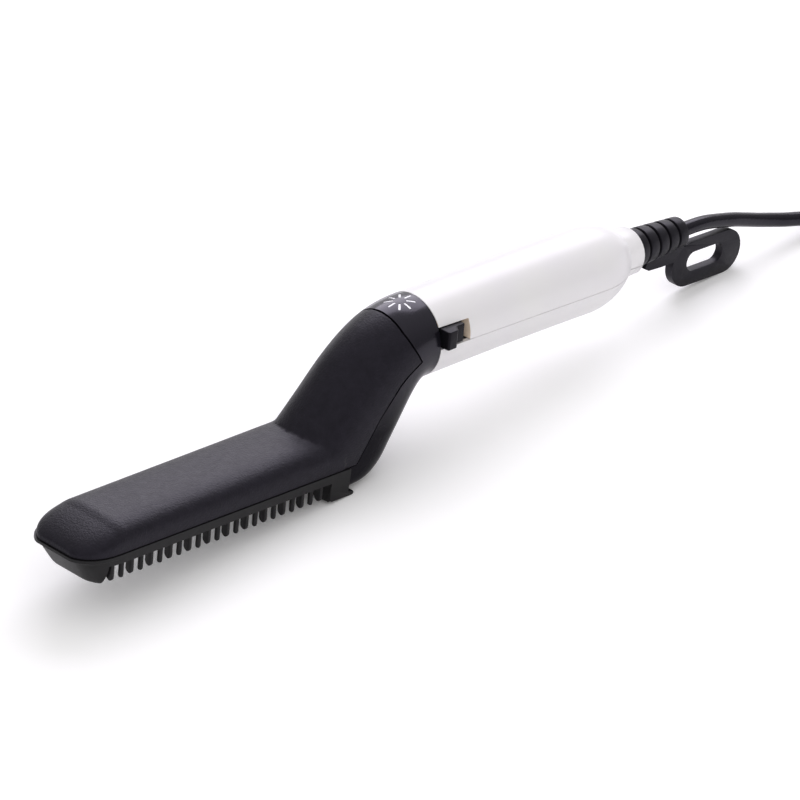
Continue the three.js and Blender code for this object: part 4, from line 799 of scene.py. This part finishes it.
CARRIER_SCREW_X = -45.9
CARRIER_SCREW_Y = 8
NECK_SCREW_X = -34
carrier_screws = [(CARRIER_SCREW_X, side * CARRIER_SCREW_Y) for side in (-1, 1)]
head_shell = within(copy_of(shell), copy_of(upper_zone))
bosses = [bar((x, y, SEAM_Z + 1.75), (x, y, -10), BOSS, 32) for x, y in carrier_screws]
bosses = [within(within(boss, copy_of(skin)), copy_of(upper_zone)) for boss in bosses]
bpy.data.objects.remove(upper_zone)
holes = [bar((x, y, SEAM_Z - 8), (x, y, SEAM_Z + 7.5), SHANK + GAP, 24) for x, y in carrier_screws]
head_shell = without(joined(head_shell, *bosses), *holes)
finished(head_shell, "head_shell_fine", SOFT_BLACK, ["head_shell"], angle=32)


def under_neck(low, high, radius, count):
    """A round bar along the neck screw's line."""
    return bar((NECK_SCREW_X, 0, low), (NECK_SCREW_X, 0, high), radius, count)


neck_shell = within(shell, lower_zone)
neck_shell = without(neck_shell, bar((-SPIGOT_LENGTH - GAP, 0, 0), (1, 0, 0), BORE, 128))
neck_shell = without(joined(neck_shell, within(under_neck(-42.4, SEAM_Z, BOSS, 32), skin)),
                     *rays(RAY_ROOM, GUIDE_TOP, 20),
                     under_neck(-50, SEAM_Z + 1, SHANK + GAP, 24),
                     under_neck(-50, SEAM_Z - 4, SCREW_HEAD + GAP, 40))
finished(neck_shell, "neck_shell_fine", GLOSS_BLACK, ["neck_shell_with_collar"], angle=32)
screw_fine("neck_screw_fine", "neck_screw", NECK_SCREW_X, 0, SEAM_Z - 4 - GAP, 8)

guide = lathe([(GUIDE_RADIUS, 0), (GUIDE_RADIUS, GUIDE_THICKNESS)], 64,
              (LIGHT_X, 0, GUIDE_TOP - GUIDE_THICKNESS), (0, 0, 1))
sky = neck_loft(0.12)
guide = joined(guide, *[within(s, copy_of(sky)) for s in rays(0, GUIDE_TOP - GUIDE_THICKNESS / 2, 20)])
bpy.data.objects.remove(sky)
finished(guide, "light_rays", WINDOW, ["light_guide"])

# Comb attachment. SIDES and FOOT are beyond it, to either side and below.
SIDES = 30
FOOT = -60
LIP = 0.6                         # how far its rim stands proud of the head
REAR_X = -41.3
TOP_Z = SEAM_Z - GAP / 2
RIM = 1.0                         # height of the upright band along the seam
RIM_LEDGE = 0.5
RAIL_Z = TOP_Z - 3.2
RAIL_WIDTH = 3.6
COMB_WALL = 1.6
NOSE_LENGTH = 10.2
NOSE_DEPTH = 11.5
NOSE_BEND_X = -135                # where the rim starts to turn round the nose
NOSE_INSET = 1.4
NOSE_SET_BACK = 6.9
NOSE_TUCK = 1.4
FOOT_START = 0.84                 # of the nose's depth, where its foot rounds off
HEEL_LENGTH = 9
HEEL_DEPTH = 10.75
TOOTH_COUNT = 23
TOOTH_PITCH = 4.353
TOOTH_LENGTH = 5.9
TOOTH_INSET = 0.5
PIN_TOOTH_RADIUS = 0.95


def comb_outline(z):
    under = smoothstep(TOP_Z - RIM - z, 0, RIM_LEDGE)
    depth = max(0.0, min(1.0, (TOP_Z - RIM - z) / (NOSE_DEPTH - RIM)))
    foot = max(0.0, min(1.0, (depth - FOOT_START) / (1 - FOOT_START)))
    rounding = 1 - (1 - foot ** 2) ** 0.5
    set_back = NOSE_INSET * under + NOSE_SET_BACK * depth + 0.9 * rounding
    side = []
    for x in [REAR_X] + head_stops[1:]:
        bend = max(0.0, (NOSE_BEND_X - x) / (NOSE_BEND_X - FRONT_X))
        side.append((x + (set_back - LIP) * bend,
                     head_shape(x)[0] + LIP * 0.6 - NOSE_TUCK * depth ** 2 - 0.6 * rounding * bend))
    return [(x, y, z) for x, y in side] + [(x, -y, z) for x, y in reversed(side)]


depths = [0, 0.15, 0.6, 1.0, 1.1, 1.2, 1.3, 1.4, 1.5, 2.5, 3.5, 5, 6.5, 8, 9.2, 9.8, 10.2, 10.6, 10.9, 11.15,
          11.35, 11.46, NOSE_DEPTH]
comb = loft([comb_outline(TOP_Z - depth) for depth in depths], "comb")
HEEL_Z = TOP_Z - HEEL_DEPTH
HEEL_FRONT = REAR_X - HEEL_LENGTH
heel_side = [(REAR_X, TOP_Z), (REAR_X, HEEL_Z + 1.6), (REAR_X + 2.2, HEEL_Z + 1.6),
             (REAR_X + 2.7, HEEL_Z + 0.8), (REAR_X + 2.2, HEEL_Z), (HEEL_FRONT + 1, HEEL_Z),
             (HEEL_FRONT, HEEL_Z + 1), (HEEL_FRONT, TOP_Z)]
heel = bevel(prism(heel_side, -HEAD_WIDTH / 2, HEAD_WIDTH / 2), 0.3, 2)
inner = HEAD_WIDTH / 2 - RAIL_WIDTH
NOSE_REAR = FRONT_X + NOSE_LENGTH
comb = without(joined(comb, heel),
               block(NOSE_REAR, HEEL_FRONT, -inner, inner, FOOT, TOP_Z + 1),
               block(NOSE_REAR, HEEL_FRONT, -SIDES, SIDES, FOOT, RAIL_Z),
               block(HEEL_FRONT + COMB_WALL, REAR_X - COMB_WALL, -inner, inner,
                     HEEL_Z + COMB_WALL, TOP_Z + 1),
               block(HEEL_FRONT, REAR_X + 5, -SIDES, SIDES, FOOT, HEEL_Z),
               block(FRONT_X + 3 * COMB_WALL, NOSE_REAR - COMB_WALL, -HEAD_WIDTH / 4, HEAD_WIDTH / 4,
                     TOP_Z - NOSE_DEPTH * 0.4, TOP_Z + 1))

# Blades and pins stand in turn along each rail. Their profiles start at the tooth's lower end.
tooth_outer = HEAD_WIDTH / 2 + LIP * 0.6 - TOOTH_INSET
tooth_tip = RAIL_Z - TOOTH_LENGTH
tooth_root = TOOTH_LENGTH + 0.5
BLADE = [(-3, tooth_root), (0, tooth_root), (0, 1.6), (-0.08, 1.05), (-0.3, 0.55), (-0.65, 0.2), (-1.1, 0.02),
         (-1.6, 0.1), (-2.2, 0.42), (-2.7, 0.95), (-2.95, 1.5)]
PIN = [(0.2, 0), (0.5, 0.06), (0.72, 0.24), (0.86, 0.5), (0.93, 0.9), (PIN_TOOTH_RADIUS, 1.5),
       (PIN_TOOTH_RADIUS, tooth_root)]
teeth = []
for i in range(TOOTH_COUNT):
    x = NOSE_REAR + COMB_WALL + i * TOOTH_PITCH
    for side in (-1, 1):
        if i % 2 == 0:
            tooth = bevel(prism([(tooth_outer + y, tooth_tip + z) for y, z in BLADE], -0.7, 0.7), 0.38, 4)
            tooth.data.transform(Matrix.Translation((x, 0, 0)) @ Matrix.Rotation(math.pi / 2, 4, "Z"))
            if side < 0:
                tooth.data.transform(Matrix.Scale(-1, 4, (0, 1, 0)))
                tooth.data.flip_normals()
        else:
            tooth = lathe(PIN, 20, (x, side * (tooth_outer - PIN_TOOTH_RADIUS), tooth_tip), (0, 0, 1))
        teeth.append(tooth)
comb = joined(comb, *teeth)
finished(comb, "comb_attachment_fine", SATIN_BLACK, ["comb_attachment"], body="comb", angle=38)

# Slide switch. Its outline in x and y is drawn up through its height; the thumb piece's top is cut off
# aslant.
FACE = -HANDLE_RADIUS - 0.2
THUMB = -HANDLE_RADIUS - 3.1
SLIDER_BACK = FACE + 2.2
SLIDER_FOOT = 0.45
SLIDER_TOP = 7.3
LEVER_X = 3
LEVER_Z = 4.1
outline = [(0.3, SLIDER_BACK), (0.3, THUMB + 0.5), (0.8, THUMB), (4.5, THUMB + 0.2), (5.3, THUMB + 0.9),
           (6.0, FACE - 0.6), (7.1, FACE), (10.7, FACE), (10.7, SLIDER_BACK)]
n = len(outline)
slider = mesh_from("slider", [(x, y, z) for z in (SLIDER_FOOT, SLIDER_TOP) for x, y in outline],
                   [tuple(range(n)), tuple(range(2 * n - 1, n - 1, -1))]
                   + [(k, (k + 1) % n, n + (k + 1) % n, n + k) for k in range(n)])
chamfer = block(-15, 25, -5, 5, -5, 5)
chamfer.data.transform(Matrix.Translation((5, THUMB - 3.2, SLIDER_TOP + 4.4))
                       @ Matrix.Rotation(math.radians(-40), 4, "X"))
slider = bevel(without(slider, chamfer), 0.4, 4, 25)
lever = block(LEVER_X - 1.5, LEVER_X + 1.5, FACE + 1.7, -9.3, LEVER_Z - 1.2, LEVER_Z + 1.2)
slider = joined(slider, lever)
finished(slider, "switch_slider_fine", SWITCH_BLACK, ["switch_slider"], body="slider",
         angle=40)

# Strain relief and hanging loop
RELIEF_X = HANDLE_LENGTH + GAP
RELIEF_LENGTH = 27.1
RELIEF_END = RELIEF_X + RELIEF_LENGTH
RELIEF_RADIUS = 7.4
RELIEF_TAPER = 1.6
RELIEF_RISE = 0.2
RELIEF_SHANK = 6.7                # its radius in the handle's end
RELIEF_FLANGE = 8.3
RIBS = 5
RIB_GAP = 1.2
RIB_DEPTH = 0.9
RIB_PITCH = (RELIEF_LENGTH + RIB_GAP) / RIBS
LOOP_X, LOOP_Z = 155.3, -11.3
LOOP_LENGTH, LOOP_HEIGHT = 37.9, 17.2
LOOP_HALF = 1.7                   # of its thickness
LOOP_SLOT_LENGTH, LOOP_SLOT_HEIGHT = 19.8, 7.7
FIN_DEPTH = 8.3


def relief_ring(x, cut, count=72):
    t = max(0.0, min(1.0, (x - RELIEF_X) / RELIEF_LENGTH))
    radius = RELIEF_RADIUS - RELIEF_TAPER * t - cut
    return ring((x, 0, END_NECK_LIFT + RELIEF_RISE * t), (0, radius, 0), (0, 0, radius), 2, count)


rings = []
for i in range(RIBS):
    start = RELIEF_X + i * RIB_PITCH
    end = start + RIB_PITCH - RIB_GAP
    rings += [relief_ring(start, 0.25), relief_ring(start + 0.12, 0.06), relief_ring(start + 0.35, 0)]
    rings += [relief_ring(end - 0.4, 0), relief_ring(end - 0.12, 0.08), relief_ring(end, 0.3)]
    if i < RIBS - 1:
        rings += [relief_ring(end + 0.12, RIB_DEPTH), relief_ring(end + RIB_GAP - 0.12, RIB_DEPTH)]
relief = loft(rings, "relief")
shank_x = SHOULDER_END - WALL - 4.2
shank_start = (shank_x, 0, END_NECK_LIFT)
relief = joined(relief, bar(shank_start, (RELIEF_X + 0.6, 0, END_NECK_LIFT), RELIEF_SHANK, 64),
                bar(shank_start, (shank_x + 2, 0, END_NECK_LIFT), RELIEF_FLANGE, 64))


def stadium(cx, cz, length, height, count=20):
    r = height / 2
    right = [(cx + length / 2 - r + r * math.cos(a), cz + r * math.sin(a))
             for a in np.linspace(-math.pi / 2, math.pi / 2, count)]
    left = [(cx - length / 2 + r + r * math.cos(a), cz + r * math.sin(a))
            for a in np.linspace(math.pi / 2, 1.5 * math.pi, count)]
    return right + left


fin_x = RELIEF_X + 8.8
loop_start = LOOP_X - LOOP_LENGTH / 2
fin = [(fin_x + 4, 0), (fin_x, -FIN_DEPTH + 1.6), (fin_x + 2.4, -FIN_DEPTH + 0.3), (fin_x + 9, -FIN_DEPTH),
       (loop_start + 3, -FIN_DEPTH), (loop_start + 5, LOOP_Z), (RELIEF_END + 3, LOOP_Z),
       (RELIEF_END + 3, LOOP_Z + 8), (RELIEF_END, -2.9), (RELIEF_END - 2, 0)]
tab = joined(prism(stadium(LOOP_X, LOOP_Z, LOOP_LENGTH, LOOP_HEIGHT), -LOOP_HALF, LOOP_HALF),
             prism(fin, -LOOP_HALF, LOOP_HALF))
tab = without(tab, prism(stadium(LOOP_X - 1.1, LOOP_Z + 0.7, LOOP_SLOT_LENGTH, LOOP_SLOT_HEIGHT), -10, 10))
tab = bevel(tab, 0.6, 2, 40)
cord_z = END_NECK_LIFT + RELIEF_RISE
relief = without(joined(relief, tab),
                 bar((RELIEF_END - 1.6, 0, cord_z), (RELIEF_END + 3, 0, cord_z), CORD / 2 + 0.12, 40))
finished(relief, "strain_relief_fine", RELIEF_BLACK, ["strain_relief_with_loop"], angle=40)


# Floor and light
def behind_object(tree, place, low, high):
    """0 up to low and 1 from high on, along the way that the camera looks."""
    along = tree.nodes.new("ShaderNodeVectorMath")
    along.operation = "DOT_PRODUCT"
    along.inputs[1].default_value = (-math.sin(AZIMUTH), math.cos(AZIMUTH), 0)
    tree.links.new(place, along.inputs[0])
    return spread(tree, along.outputs["Value"], low, high)


def seen_directly(tree, mirrored):
    """1 for what the camera sees straight or through glass, and a given share of it in a glossy surface."""
    path = tree.nodes.new("ShaderNodeLightPath")
    glossy = calculated(tree, "MULTIPLY", path.outputs["Is Glossy Ray"], mirrored)
    shown = calculated(tree, "MAXIMUM", path.outputs["Is Camera Ray"], path.outputs["Is Transmission Ray"])
    return calculated(tree, "MAXIMUM", shown, glossy)


# The floor is white paper, a little brighter where the camera sees it; ambient occlusion takes that glow away
# close round and under the object, a painted shadow.
FLOOR_HALF = 6
FLOOR_GLOW = 0.29
MIRRORED_FROM, MIRRORED_FULL = 0.05, 0.3
corners = [(x * FLOOR_HALF, y * FLOOR_HALF, 0) for x, y in ((-1, -1), (1, -1), (1, 1), (-1, 1))]
floor = mesh_from("floor", corners, [(0, 1, 2, 3)])
paper = bpy.data.materials.new("paper")
paper.use_nodes = True
tree = paper.node_tree
tree.nodes.remove(tree.nodes["Principled BSDF"])
matte = tree.nodes.new("ShaderNodeBsdfDiffuse")
matte.inputs["Color"].default_value = (0.97, 0.97, 0.97, 1)
# Ambient occlusion darkens the floor's glow near the object: painted shadow.
painted_contact_shadow = tree.nodes.new("ShaderNodeAmbientOcclusion")
painted_contact_shadow.samples = 8
painted_contact_shadow.inputs["Distance"].default_value = 0.06
place = tree.nodes.new("ShaderNodeNewGeometry")
mirrored = behind_object(tree, place.outputs["Position"], MIRRORED_FROM, MIRRORED_FULL)
shown = seen_directly(tree, mirrored)
glow_less_painted_shadow = calculated(tree, "MULTIPLY", shown, painted_contact_shadow.outputs["AO"])
glow = tree.nodes.new("ShaderNodeEmission")
tree.links.new(calculated(tree, "MULTIPLY", glow_less_painted_shadow, FLOOR_GLOW), glow.inputs["Strength"])
both = tree.nodes.new("ShaderNodeAddShader")
tree.links.new(matte.outputs["BSDF"], both.inputs[0])
tree.links.new(glow.outputs["Emission"], both.inputs[1])
tree.links.new(both.outputs["Shader"], tree.nodes["Material Output"].inputs["Surface"])
floor.data.materials.append(paper)

# The room is dimmer at the horizon than overhead, and a white backdrop stands behind the object.
HORIZON_LIGHT, TOP_LIGHT = 0.26, 0.64
TOP_FROM = 0.8
world = bpy.data.worlds.new("studio")
bpy.context.scene.world = world
world.use_nodes = True
tree = world.node_tree
background = tree.nodes["Background"]
background.inputs["Color"].default_value = (0.99, 0.975, 0.99, 1)
direction = tree.nodes.new("ShaderNodeTexCoord").outputs["Generated"]
parts = tree.nodes.new("ShaderNodeSeparateXYZ")
tree.links.new(direction, parts.inputs["Vector"])
ambient = spread(tree, parts.outputs["Z"], 0, TOP_FROM, HORIZON_LIGHT, TOP_LIGHT)
backdrop = seen_directly(tree, behind_object(tree, direction, 0.6, 0.9))
tree.links.new(calculated(tree, "MAXIMUM", ambient, backdrop), background.inputs["Strength"])


def softbox(name, direction, distance, width, height, power, color, target=(0, 0, 0.03)):
    data = bpy.data.lights.new(name, "AREA")
    data.color = color
    data.shape = "RECTANGLE"
    data.size, data.size_y = width, height
    data.energy = power
    lamp = bpy.data.objects.new(name, data)
    bpy.context.scene.collection.objects.link(lamp)
    out = Vector(direction).normalized()
    lamp.location = Vector(target) + out * distance
    lamp.rotation_mode = "QUATERNION"
    lamp.rotation_quaternion = out.to_track_quat("Z", "Y")
    return lamp


softbox("key", (0.62, 0.44, 0.65), 1.1, 1.0, 0.78, 7.6, (0.94, 0.905, 1.0))
fill = softbox("fill", (-0.45, -0.8, 0.42), 1.6, 2.0, 1.2, 5.9, (1.0, 0.985, 0.955))
fill.visible_glossy = False

bpy.context.scene.view_settings.view_transform = "Standard"
